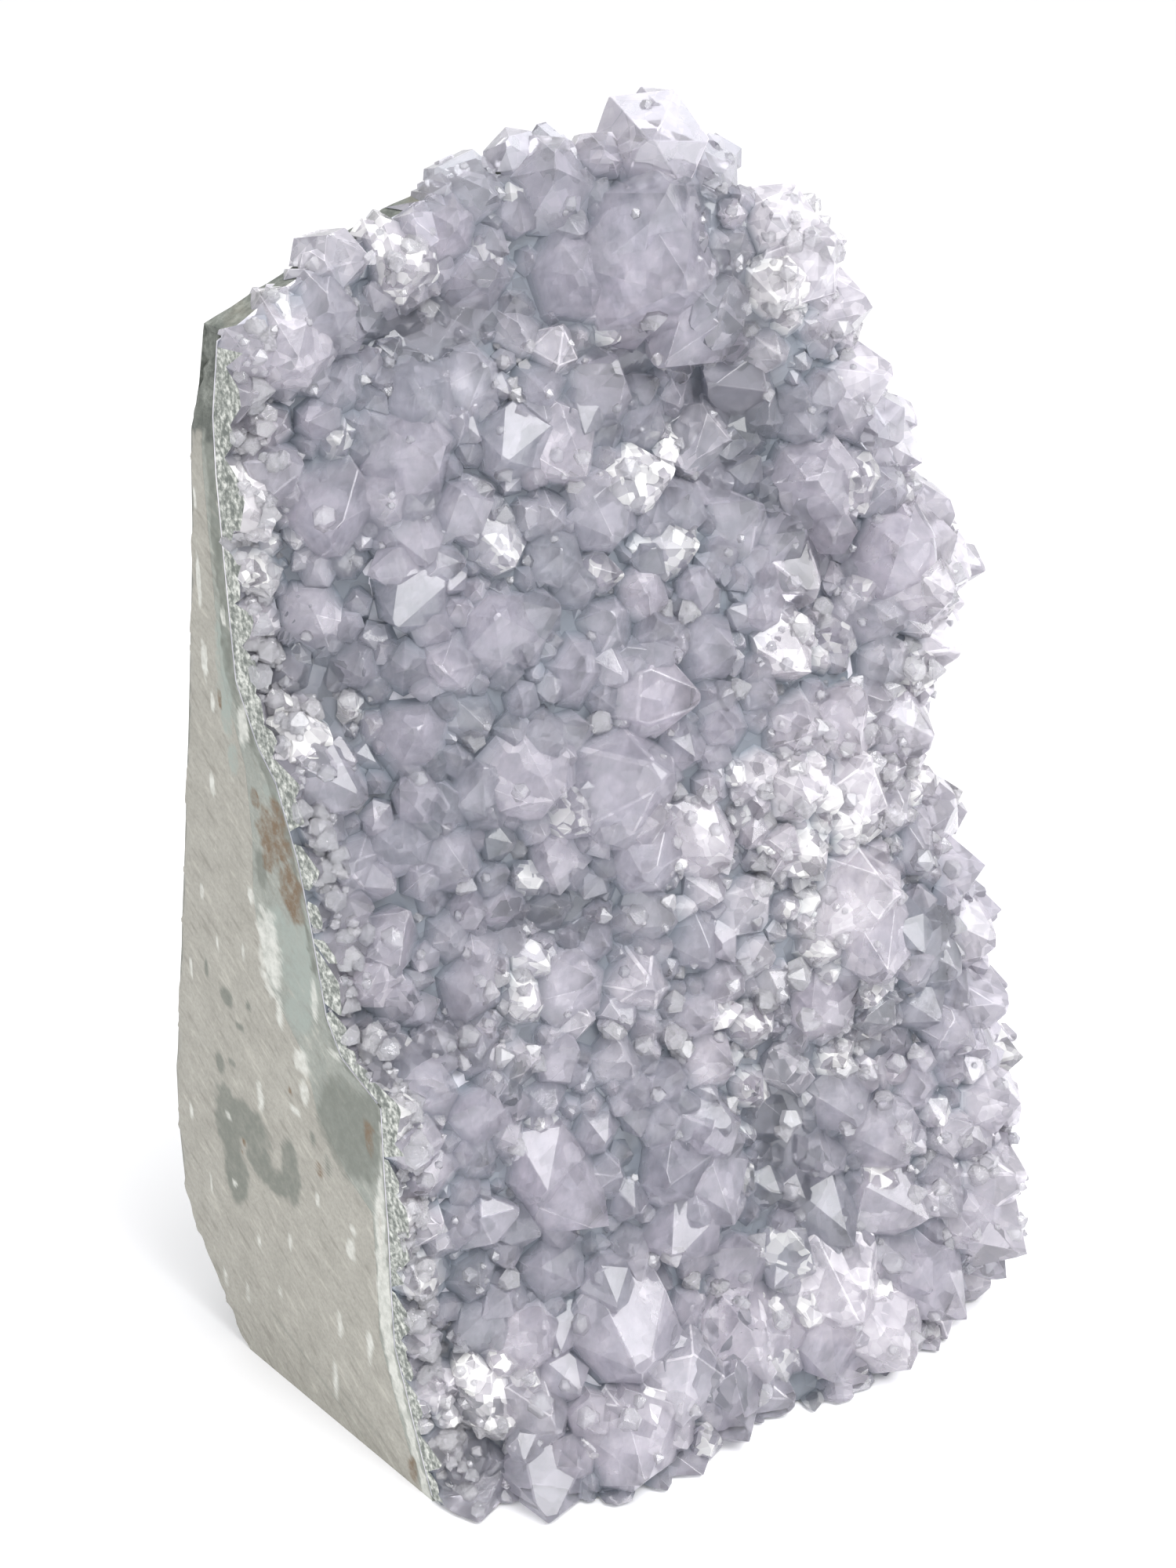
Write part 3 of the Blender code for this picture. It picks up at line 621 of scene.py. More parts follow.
def makeTiny(crustPiece):
    # places a crystal on triangles of the crust picked by their area, pointing between the
    # triangle's direction and the growth direction; every habit's points are one array
    rng = np.random.default_rng(tiny["seed"])
    mesh = crustPiece.data
    mesh.calc_loop_triangles()
    count = len(mesh.loop_triangles)
    corners = np.empty(count * 3, np.int32)
    mesh.loop_triangles.foreach_get("vertices", corners)
    corners = pointsOf(crustPiece)[corners.reshape(-1, 3)]
    square = np.cross(corners[:, 1] - corners[:, 0], corners[:, 2] - corners[:, 0])
    area = np.linalg.norm(square, axis=1)
    normal = square / np.maximum(area, 1e-9)[:, None]
    centre = corners.mean(axis=1)
    x, z = centre[:, 0], centre[:, 2]
    rise = bedDepth(x, z) - centre[:, 1]
    front = (normal[:, 1] < 0.2) & (normal[:, 0] > -0.9) & (rise > 0.3)
    bright = smoothStep((toneAndPaintedLightAt(*seenPlace(centre)) - 0.45) * 3)
    chance = area * front * np.exp(-rise / 3.5) * (0.15 + bright)
    picks = rng.choice(count, tiny["count"], p=chance / chance.sum())
    edging = area * front * (x < leftEdge(z) + tiny["leftWidth"])
    picks = np.concatenate((picks, rng.choice(count, tiny["leftCount"], p=edging / edging.sum())))
    total = len(picks)
    axis = normal[picks] + growth(normal[picks]) * tiny["forward"] + rng.normal(0, 0.3, (total, 3))
    axis /= np.linalg.norm(axis, axis=1, keepdims=True)
    width = rng.uniform(0, 1, total) ** 2 * (tiny["widths"][1] - tiny["widths"][0]) + tiny["widths"][0]
    head = (corners[picks] * rng.dirichlet((1, 1, 1), total)[..., None]).sum(axis=1)
    tip = head + axis * (width * 0.6)[:, None]
    sideRun = rock["sideRun"]
    inward = tip[:, 0] * sideRun[1] - tip[:, 1] * sideRun[0]
    keep = (inward > width * 0.45) & (tip[:, 2] > width + crystals["underside"]) & (tip[:, 0] < rightEdge(tip[:, 2]) + 3)
    tip, axis, width = tip[keep], axis[keep], width[keep]
    side = np.cross(axis, (0.3, 0.2, 0.93))
    side /= np.linalg.norm(side, axis=1, keepdims=True)
    spin = rng.uniform(0, 2 * np.pi, len(tip))[:, None]
    turned = side * np.cos(spin) + np.cross(axis, side) * np.sin(spin)
    frames = np.stack((turned, np.cross(axis, turned), axis), axis=1)
    habit = rng.integers(tiny["habits"], size=len(tip))
    # tone from the map of painted light and shade, paler on the whole and off at random
    shade = np.clip(toneAndPaintedLightAt(*seenPlace(tip)) + rng.normal(0.1, 0.2, len(tip)), 0, 1)
    points, polygons, shadeOf, start = [], [], [], 0
    for kind in range(tiny["habits"]):
        shape, faces, _ = crystalShape(crystalCorners(rng), 0)
        shape[:, 2] = np.maximum(shape[:, 2], -0.95)
        here = np.flatnonzero(habit == kind)
        placed = tip[here, None] + np.einsum("pk,nkj->npj", shape, frames[here]) * width[here, None, None]
        points.append(placed.reshape(-1, 3))
        for at, one in enumerate(here):
            polygons += [[start + at * len(shape) + corner for corner in face] for face in faces]
            shadeOf += [shade[one]] * len(faces)
        start += len(here) * len(shape)
    piece = newObject("tinyQuartzCrystals", np.concatenate(points), polygons)
    setFaces(piece, tone=np.array(shadeOf))
    print("tiny crystals", len(tip))
    return piece


# Milky roots of the crystals
roots = {
    "low": 0.2, "high": 0.75, "lumps": 0.25, "rows": 170, "columns": 110,
    # shadeBy: the share of the nearest crystal's tone, painted light and shade included, that the roots under it take
    "shadeBy": 0.75,  # how much of the nearest crystal's own shade the roots under it take
}


def nearestShade(points):
    # tone, painted light and shade included, of the crystal whose head, less half its width, is nearest to each point
    heads = np.array(toneAndPaintedLight["heads"])
    shade = np.empty(len(points))
    for at in range(0, len(points), 2000):
        part = points[at:at + 2000]
        apart = np.linalg.norm(part[:, None] - heads[None, :, :3], axis=-1) - heads[:, 3] * 0.5
        shade[at:at + 2000] = heads[apart.argmin(axis=1), 4]
    return shade


def makeRoots():
    # a lumpy sheet inside the crust, just in front of the rind, its lumps made of sine waves
    # that bend each other; each part takes its tone, painted light and shade included, from the crystal over it
    front, across, up = frontGrid(roots["columns"], roots["rows"])
    run = runBack(across)
    x, z = front[..., 0], front[..., 2]
    lumps = 0.3 * (np.sin(x * 1.9 + np.sin(z * 1.3) * 2) + np.sin(z * 1.7 + np.sin(x * 1.1) * 2))
    lumps += 0.2 * np.sin(x * 4.1 + np.sin(z * 3.3) * 2) * np.sin(z * 4.4 + np.sin(x * 2.9) * 2)
    inset = smoothStep(across * 30) * smoothStep((1 - across) * 30) * smoothStep((1 - up) * 30)
    lumps *= roots["lumps"]
    face = front - run * (roots["low"] + (roots["high"] - roots["low"] + lumps) * inset)[..., None]
    back = front - run * 0.1
    face[..., 2] = np.maximum(face[..., 2], crystals["underside"] + 0.2)
    back[..., 2] = np.maximum(back[..., 2], crystals["underside"] + 0.1)
    piece = ringSolid("milkyQuartzRoots", face, back)
    points = pointsOf(piece)
    near, wide = nearestShade(points), toneAndPaintedLightAt(*seenPlace(points))
    setPoints(piece, "tone", np.clip(wide + (near - wide) * roots["shadeBy"], 0, 1))
    return piece


# The rock and the rind, with finer grids than the solids, and what the saw laid open in them
cut = {
    "rows": 290, "columns": 56, "rockSteps": 118, "rindSteps": 26, "rightSteps": 12,
    "thinRock": 4.2, "rockBulge": 6.0, "middleDeeper": 0.15, "rightShallower": 0.3, "lump": 1.0,
    "bow": 0.12, "thinRind": 1.3, "lensFade": 0.3,
    "rough": 2.3,  # how deep the broken faces are pitted
    "naturalFrom": 118.0,  # above this height the sawn side ends in a worn natural corner
    "cornerWorn": 1.5,
    "edgeWorn": 0.6,
}

# Marks on the sawn side: how far back, height, half width, half height
sawMarks = {
    "white": (
        (27.6, 60.5, 2.2, 5.2), (26.2, 53.2, 0.6, 2.4), (22.3, 48.4, 1.5, 1.6), (22.0, 44.6, 0.8, 1.7),
        (30.2, 87.2, 1.0, 2.4), (14.1, 27.4, 0.9, 1.6), (11.3, 15.6, 0.6, 2.4), (17.1, 14.9, 0.5, 1.6),
        (31.3, 39.6, 0.6, 2.1), (37.1, 92.6, 0.6, 2.6), (37.2, 102, 0.4, 3.6), (37.2, 77.5, 0.5, 1.2),
        (41.8, 8.7, 0.4, 1.4), (18.6, 6.6, 0.5, 2.4), (37.0, 111.5, 0.4, 1.1), (26.7, 21.4, 0.4, 1.2),
        (43.6, 21.5, 0.3, 1.2), (38.4, 57, 0.3, 0.9), (44.6, 51, 0.3, 1.4), (20.4, 30.8, 0.4, 0.9),
        (41.0, 62.6, 0.5, 0.9), (24.2, 41.0, 0.9, 0.5), (13.5, 30, 0.6, 0.5), (36.8, 8.5, 0.3, 1.3),
        (38.2, 24.2, 0.5, 0.5), (38.5, 33.4, 0.6, 0.7), (30.6, 66.2, 0.7, 1.2), (36, 88, 0.4, 1.2),
        (33, 58, 0.3, 0.8), (8.9, 24, 0.3, 3), (29.5, 13, 0.3, 0.8), (33.5, 18, 0.3, 0.9),
        (47, 30, 0.3, 1.0), (15.5, 52.3, 1.4, 0.5), (32.8, 99, 0.5, 1.2), (19.0, 57.5, 0.5, 3.2),
    ),
    "dark": (
        (13.5, 43.5, 6.2, 6.4), (9.0, 47, 2.0, 4.0), (25.7, 32, 1.9, 4.4), (29.2, 28.9, 3.4, 2.0),
        (35.0, 34.2, 5.2, 3.0), (32.4, 30.4, 2.8, 2.6), (38.8, 32.5, 2.8, 5.2), (37.6, 25.8, 2.6, 4.4), (37.2, 50.4, 1.3, 1.3),
        (34.8, 47.4, 0.9, 0.6), (20.8, 38.8, 0.5, 1.0), (18.0, 36.4, 0.5, 1.4), (41.2, 52.4, 0.4, 1.2),
        (39.6, 40.2, 0.9, 1.6), (37.0, 41.5, 0.8, 0.6), (32.7, 51.0, 0.5, 0.7), (28.2, 70.4, 1.0, 2.6),
    ),
    "rust": (
        (25.2, 75.2, 3.0, 3.4), (22.6, 70.4, 2.2, 3.0), (24.5, 78.6, 1.2, 2.0), (26.8, 72.0, 1.0, 1.6), (21.7, 67.2, 1.7, 1.2), (9.7, 44.6, 0.9, 2.2),
        (3.6, 2.5, 0.9, 1.5), (35.4, 31.2, 0.4, 0.6), (36.0, 29.6, 0.3, 0.3), (19.7, 35.2, 0.5, 1.1),
        (28.6, 78.9, 0.8, 1.2), (34.5, 88.8, 0.4, 1.3), (24.9, 43.2, 0.4, 0.4), (8.2, 33, 0.3, 4),
    ),
    "teal": (
        (21.8, 61.0, 3.6, 6.0), (25.5, 64.5, 2.4, 2.2), (22.4, 54.5, 2.6, 2.6), (33.4, 92, 1.4, 8),
        (25, 80.7, 2.2, 0.8), (32.6, 82.6, 1.0, 2.0), (20.3, 66, 1.5, 2),
    ),
    # height and place of the pale band that follows the rind, and its half width
    "band": ((0, 1.2, 0.5), (5, 3.0, 0.6), (10, 5.0, 0.8), (15, 6.9, 0.9), (20, 7.9, 1.2), (34, 8.2, 0.9),
             (40, 7.7, 0.3), (49, 7.3, -0.2), (51, 12.5, -1), (130, 33, -1)),
    # the same for the dark ragged seam between crystals and stone
    "seam": ((0, 0.6, -1), (20, 7, -0.3), (45, 7.8, 0.2), (49.4, 8.0, 0.4), (52.4, 15.2, 0.5), (60, 18.2, 0.4),
             (66, 19.8, 0.4), (74, 21.8, 0.5), (82.2, 25.2, 0.7), (85.4, 28.6, 1.0), (92, 32.2, 0.9),
             (99, 32.6, 0.9), (107.8, 33.1, 0.8), (118, 33.4, 0.9), (130, 32, 0.6)),
    # two saw scores: from (how far back, height) to (how far back, height)
    "scores": (((8.5, 2.6), (18.5, 5.6)), ((12, 0.6), (33, 9.3))),
}


def uneven(points, size):
    # a value between -1 and 1: the product of two sine waves, their place bent by a third
    place = points / size
    bent = place + 0.7 * np.sin(place[..., [1, 2, 0]] * 1.7 + (0.3, 1.9, 4.1))
    return np.sin(bent @ (2.1, 1.3, 0.7)) * np.sin(bent @ (-0.9, 1.7, 1.9) + 1.3)


def marked(back, high, places, ragged):
    # 1 inside each ellipse of the list and 0 outside, over an outline made ragged by waves
    place = np.stack((back, high, np.zeros_like(back)), axis=-1)
    wave = uneven(place, 1.6) + 0.6 * uneven(place + 9, 0.7)
    inside = np.zeros_like(back)
    for midBack, midHigh, wide, tall in places:
        apart = np.hypot((back - midBack) / wide, (high - midHigh) / tall)
        inside = np.maximum(inside, smoothStep((1.15 - apart + ragged * wave) / 0.35))
    return inside


def along(back, high, wave, rows):
    # 1 within half a width of a line given by height, place and half width, its edges ragged
    rows = np.array(rows)
    middle, half = (np.interp(high, rows[:, 0], rows[:, at]) for at in (1, 2))
    return smoothStep((half + 0.2 + 0.35 * wave - abs(back - middle)) / 0.35)


def strip(start, end, steps):
    # columns between two columns of points, evenly spaced
    share = np.arange(1, steps + 1) / (steps + 1)
    return start[:, None] + (end - start)[:, None] * share[None, :, None]


def rindDepth(across, up):
    side = sideDepth(up * rock["sideTop"], 2) - sideDepth(up * rock["sideTop"], 1)
    return cut["thinRind"] + (side - cut["thinRind"]) * np.exp(-across / cut["lensFade"])


def backGrid(front, across, up):
    # the broken back: the sawn outline carried across, swollen in the middle, less deep at the
    # right, with broad sine lumps, and pitted inward by fine unevenness
    arch = np.sin(np.pi * across)
    side = rock["sideRun"][1] * sideDepth(up * rock["sideTop"], 3) - rock["lean"] * up * rock["sideTop"]
    depth = side * (1 + cut["middleDeeper"] * arch - cut["rightShallower"] * across**2)
    depth = depth + cut["rockBulge"] * arch * np.sin(np.pi * up)
    waves = (np.sin(9 * across + 5 * up + 0.6) + np.sin(4 * across - 11 * up) + np.sin(14 * up + 3 * across))
    lumps = cut["lump"] * waves * smoothStep(across * 4) * smoothStep(2 - 2 * up)
    y = np.maximum(rock["lean"] * front[..., 2] + depth + lumps, front[..., 1] + cut["thinRock"])
    back = front + runBack(across) * ((y - front[..., 1]) / rock["sideRun"][1])[..., None]
    back[..., 1] -= np.minimum(pitted(back), (back - front)[..., 1] * 0.45) * smoothStep(across * 12)
    return back


def pitted(points):
    # depth of the broken surface: scoops of two sizes that meet in ridges (the unevenness
    # without its sign), and small pits, never negative
    scoops = 1.2 * abs(uneven(points, 9.0)) + 0.6 * abs(uneven(points + 31, 4.2))
    pits = 0.22 * uneven(points, 2.3) + 0.13 * uneven(points, 1.2)
    return cut["rough"] * np.clip(scoops + pits + 0.2, 0, 2)


def wornSide(points):
    # moves points of the sawn side inward: the natural corner above, and a slightly worn edge
    # at the back, both made uneven
    sideRun = np.array(rock["sideRun"])
    back, high = points[..., :2] @ sideRun, points[..., 2]
    onSaw = smoothStep(1 - abs(points[..., 0] * sideRun[1] - points[..., 1] * sideRun[0]) / 0.3)
    corner = smoothStep((high - cut["naturalFrom"] + uneven(points, 2.5)) / 11)
    edge = smoothStep(1 - (sideDepth(high, 3) - back) / (1.4 + 0.7 * uneven(points, 2.0)))
    depth = cut["cornerWorn"] * corner * (1 + 0.4 * uneven(points, 1.5)) + cut["edgeWorn"] * edge
    moved = points.copy()
    moved[..., :2] += (onSaw * depth)[..., None] * (sideRun[1], -sideRun[0])
    return moved


def setMarks(piece):
    # keeps on each point how much of each mark it carries, and where the stone is natural
    points = pointsOf(piece)
    sideRun = np.array(rock["sideRun"])
    back, high = points[:, :2] @ sideRun, points[:, 2]
    inward = points[:, 0] * sideRun[1] - points[:, 1] * sideRun[0]
    wave = uneven(points, 2.2) + 0.5 * uneven(points, 0.8)
    onSaw = 1 - smoothStep((inward - 0.3) / 0.5)
    natural = np.maximum(1 - onSaw, smoothStep((high - cut["naturalFrom"] + 1.5 * wave) / 2))
    pale, seam = (along(back, high, wave, sawMarks[name]) for name in ("band", "seam"))
    white = np.maximum(marked(back, high, sawMarks["white"], 0.25), pale)
    scored = np.zeros_like(back)
    for (back0, high0), (back1, high1) in sawMarks["scores"]:
        on = high0 + (back - back0) * (high1 - high0) / (back1 - back0)
        length = smoothStep((back - back0) / 2) * smoothStep((back1 - back) / 2)
        scored = np.maximum(scored, length * smoothStep(1 - abs(high - on) / 0.5))
    dark = np.maximum(marked(back, high, sawMarks["dark"], 0.12) * 0.9, scored * 0.45)
    dark = np.maximum(dark, seam * (0.8 + 0.3 * uneven(points, 1.1)))
    for name, value in (("white", white), ("dark", dark)):
        setPoints(piece, name, value * onSaw)
    setPoints(piece, "rust", marked(back, high, sawMarks["rust"], 0.2) * onSaw)
    setPoints(piece, "teal", marked(back, high, sawMarks["teal"], 0.2) * onSaw)
    setPoints(piece, "natural", natural)


def makeStone():
    # rock and rind as rings of columns: front, right side, back, and home down the sawn side
    front, across, up = frontGrid(cut["columns"], cut["rows"])
    run = runBack(across)
    rindBack = front + run * rindDepth(across, up)[..., None]
    rockFront = rindBack + run * 0.04
    rockBack = backGrid(front, across, up)
    right = strip(rockFront[:, -1], rockBack[:, -1], cut["rightSteps"])
    part = np.arange(1, cut["rightSteps"] + 1) / (cut["rightSteps"] + 1)
    depth = (rockBack - rockFront)[:, -1:, 1]
    right[..., 0] += depth * cut["bow"] * np.sin(np.pi * part) - pitted(right) * np.sin(np.pi * part) ** 0.5
    sawn = wornSide(strip(rockBack[:, 0], rockFront[:, 0], cut["rockSteps"]))
    matrix = ringSolid("basaltRock", wornSide(rockFront), wornSide(rockBack), (right,), (sawn,))
    sawn = wornSide(strip(rindBack[:, 0], front[:, 0], cut["rindSteps"]))
    rind = ringSolid("agateRind", wornSide(front), wornSide(rindBack), (), (sawn,))
    for piece in (matrix, rind):
        setMarks(piece)
        piece.data.shade_smooth()
        piece.data.set_sharp_from_angle(angle=np.radians(40))
    return matrix, rind


# Materials
def linear(hexColour, alpha=1.0):
    # sRGB hex to linear light
    parts = [int(hexColour[at:at + 2], 16) / 255 for at in (0, 2, 4)]
    return [p / 12.92 if p <= 0.04045 else ((p + 0.055) / 1.055) ** 2.4 for p in parts] + [alpha]


def addNode(tree, kind, settings=(), links=()):
    # adds a node, sets its properties or sockets by name, and links sockets to (node, output)
    node = tree.nodes.new("ShaderNode" + kind)
    for name, value in dict(settings).items():
        if hasattr(node, str(name)):
            setattr(node, name, value)
        else:
            node.inputs[name].default_value = value
    for name, (source, output) in dict(links).items():
        tree.links.new(source.outputs[output], node.inputs[name])
    return node


def newMaterial(name):
    material = bpy.data.materials.new(name)
    material.use_nodes = True
    tree = material.node_tree
    tree.nodes.clear()
    output = tree.nodes.new("ShaderNodeOutputMaterial")
    return material, tree, output


def setRamp(node, stops):
    ramp = node.color_ramp
    while len(ramp.elements) > 2:
        ramp.elements.remove(ramp.elements[-1])
    for at, (place, colour) in enumerate(stops):
        element = ramp.elements[at] if at < 2 else ramp.elements.new(place)
        element.position = place
        element.color = linear(colour)
    return node


def kept(tree, name):
    # a value kept on the piece
    return addNode(tree, "Attribute", {"attribute_name": name})


def ranged(tree, source, output, low, high, newLow, newHigh):
    settings = {"From Min": low, "From Max": high, "To Min": newLow, "To Max": newHigh}
    return addNode(tree, "MapRange", settings, {"Value": (source, output)})


def covered(tree, under, share, colour):
    # a colour laid over another node's by a share
    return addNode(tree, "MixRGB", {"Color2": linear(colour)}, {"Color1": (under, "Color"), "Fac": share})


def amethystMaterial():
    # pale amethyst: glassy quartz over cloudy insides, faintly lilac; flat breaks inside it show
    # as paler and greyer patches with sharp outlines; in the clear crystals some are almost white, breaks with a
    # painted reflection on them
    material, tree, output = newMaterial("paleAmethystQuartz")
    place = addNode(tree, "TexCoord")
    cloud = addNode(tree, "TexNoise", {"Scale": 330.0, "Detail": 3.0, "Roughness": 0.5}, {"Vector": (place, "Object")})
    breaks = addNode(tree, "TexVoronoi", {"Scale": 420.0, "Randomness": 1.0}, {"Vector": (place, "Object")})
    flakes = addNode(tree, "TexVoronoi", {"Scale": 800.0, "Randomness": 1.0}, {"Vector": (place, "Object")})
    mottled = ranged(tree, cloud, "Fac", 0.3, 0.7, -0.1, 0.1)
    # the crystal's tone, painted light and shade included, mottled by noise and by breaks of two sizes
    shade = addNode(tree, "Math", {"operation": "ADD"}, {0: (kept(tree, "tone"), "Fac"), 1: (mottled, "Result")})
    shade = addNode(tree, "Math", {"operation": "ADD"},
                    {0: (shade, "Value"), 1: (ranged(tree, breaks, "Color", 0.1, 0.9, -0.1, 0.1), "Result")})
    shade = addNode(tree, "Math", {"operation": "ADD"},
                    {0: (shade, "Value"), 1: (ranged(tree, flakes, "Color", 0.1, 0.9, -0.1, 0.1), "Result")})
    # painted highlight: the rounded edges of the crystals made paler
    shade = addNode(tree, "Math", {"operation": "MULTIPLY_ADD", 1: 0.16}, {0: (kept(tree, "edge"), "Fac"), 2: (shade, "Value")})
    pale = setRamp(addNode(tree, "ValToRGB", links={"Fac": (shade, "Value")}),
                   ((0.0, "D8DAE0"), (1.0, "FFFFFF"), (0.35, "E9E8EF"), (0.75, "F7F6FA")))
    hue = setRamp(addNode(tree, "ValToRGB", links={"Fac": (kept(tree, "tint"), "Fac")}),
                  ((0.0, "F6F9F6"), (1.0, "FFF9FB"), (0.5, "FDFCFC")))
    tinted = addNode(tree, "MixRGB", {"blend_type": "MULTIPLY", "Fac": 1.0}, {"Color1": (pale, "Color"), "Color2": (hue, "Color")})
    # painted shade: low down between the crystals, near the bed, the glass turns blue-grey
    low = ranged(tree, kept(tree, "rise"), "Fac", 0.1, 0.26, 1.0, 0.0)
    colour = covered(tree, tinted, (low, "Result"), "B0B6BE")
    grain = addNode(tree, "TexNoise", {"Scale": 1500.0, "Detail": 4.0, "Roughness": 0.6}, {"Vector": (place, "Object")})
    relief = addNode(tree, "Bump", {"Strength": 0.1, "Distance": 0.0002}, {"Height": (grain, "Fac")})
    gloss = ranged(tree, kept(tree, "clear"), "Fac", 0.0, 1.0, 0.07, 0.04)
    glass = addNode(tree, "BsdfPrincipled", {"IOR": 1.544, "Transmission Weight": 0.97},
                    {"Base Color": (colour, "Color"), "Normal": (relief, "Normal"), "Roughness": (gloss, "Result")})
    cloudy = setRamp(addNode(tree, "ValToRGB", links={"Fac": (shade, "Value")}),
                     ((0.0, "9A9BA4"), (1.0, "E0DDE1"), (0.45, "B1AEB9"), (0.75, "C8C4CC")))
    # painted reflections: sharp, almost white patches inside the clear crystals, as if light were mirrored off inner
    # breaks
    white = ranged(tree, flakes, "Color", 0.35, 0.75, 0.0, 0.8)
    white = addNode(tree, "Math", {"operation": "MULTIPLY"}, {0: (kept(tree, "clear"), "Fac"), 1: (white, "Result")})
    inside = covered(tree, cloudy, (white, "Value"), "EFEFEC")
    # painted shade: the cloudy insides darker low between the crystals
    inside = covered(tree, inside, (low, "Result"), "848B95")
    body = addNode(tree, "BsdfPrincipled", {"IOR": 1.544, "Roughness": 0.12}, {"Base Color": (inside, "Color"), "Normal": (relief, "Normal")})
    veil = ranged(tree, breaks, "Color", 0.2, 0.8, 0.03, 0.24)
    # more of the cloudy body where the tone is bright, painted highlight included
    bright = ranged(tree, shade, "Value", 0.6, 1.0, 0.0, 0.4)
    veil = addNode(tree, "Math", {"operation": "ADD"}, {0: (veil, "Result"), 1: (bright, "Result")})
    share = addNode(tree, "Math", {"operation": "MULTIPLY_ADD", 1: 0.35}, {0: (kept(tree, "milky"), "Fac"), 2: (veil, "Value")})
    # painted highlight: more of the pale cloudy body on the rounded edges
    share = addNode(tree, "Math", {"operation": "MULTIPLY_ADD", 1: 0.13}, {0: (kept(tree, "edge"), "Fac"), 2: (share, "Value")})
    # painted reflections: the white patches take more of the cloudy body
    share = addNode(tree, "Math", {"operation": "MULTIPLY_ADD", 1: 0.34, "use_clamp": True}, {0: (white, "Value"), 2: (share, "Value")})
    # painted shade: more of the darkened body low between the crystals
    share = addNode(tree, "Math", {"operation": "MULTIPLY_ADD", 1: 0.45, "use_clamp": True}, {0: (low, "Result"), 2: (share, "Value")})
    both = addNode(tree, "MixShader", links={0: (share, "Value"), 1: (glass, "BSDF"), 2: (body, "BSDF")})
    skin = setRamp(addNode(tree, "ValToRGB", links={"Fac": (grain, "Fac")}), ((0.38, "5C625D"), (0.66, "CDCFC9"), (0.5, "8A8E88")))
    cutFace = addNode(tree, "BsdfPrincipled", {"Roughness": 0.5}, {"Base Color": (skin, "Color")})
    both = addNode(tree, "MixShader", links={0: (kept(tree, "sawn"), "Fac"), 1: (both, "Shader"), 2: (cutFace, "BSDF")})
    haze = addNode(tree, "VolumeAbsorption", {"Color": linear("D0CED7"), "Density": 24.0})
    tree.links.new(both.outputs[0], output.inputs["Surface"])
    tree.links.new(haze.outputs["Volume"], output.inputs["Volume"])
    return material


def tinyMaterial():
    # young clear quartz: colourless and glassy, greyer where its tone carries painted shade
    material, tree, output = newMaterial("clearQuartz")
    pale = setRamp(addNode(tree, "ValToRGB", links={"Fac": (kept(tree, "tone"), "Fac")}),
                   ((0.0, "D9DAE0"), (1.0, "F2F1F5")))
    place = addNode(tree, "TexCoord")
    grain = addNode(tree, "TexNoise", {"Scale": 2000.0, "Detail": 3.0}, {"Vector": (place, "Object")})
    relief = addNode(tree, "Bump", {"Strength": 0.3, "Distance": 0.0001}, {"Height": (grain, "Fac")})
    shader = addNode(tree, "BsdfPrincipled", {"IOR": 1.544, "Transmission Weight": 0.74, "Roughness": 0.05},
                     {"Base Color": (pale, "Color"), "Normal": (relief, "Normal")})
    tree.links.new(shader.outputs["BSDF"], output.inputs["Surface"])
    return material


def rootMaterial():
    # milky quartz: dense white and grey, clouded, with paler veins; seen through the crystals; its grey is partly
    # painted shade from its tone
    material, tree, output = newMaterial("milkyQuartz")
    place = addNode(tree, "TexCoord")
    cloud = addNode(tree, "TexNoise", {"Scale": 400.0, "Detail": 4.0, "Roughness": 0.55}, {"Vector": (place, "Object")})
    spread = ranged(tree, cloud, "Fac", 0.3, 0.7, -0.25, 0.25)
    both = addNode(tree, "Math", {"operation": "ADD"}, {0: (kept(tree, "tone"), "Fac"), 1: (spread, "Result")})
    colour = setRamp(addNode(tree, "ValToRGB", links={"Fac": (both, "Value")}),
                     ((0.0, "9A9FA7"), (1.0, "FAF8FA"), (0.4, "C0C0C9"), (0.7, "DDDBE2")))
    shader = addNode(tree, "BsdfPrincipled", {"Roughness": 0.6}, {"Base Color": (colour, "Color")})
    tree.links.new(shader.outputs["BSDF"], output.inputs["Surface"])
    return material


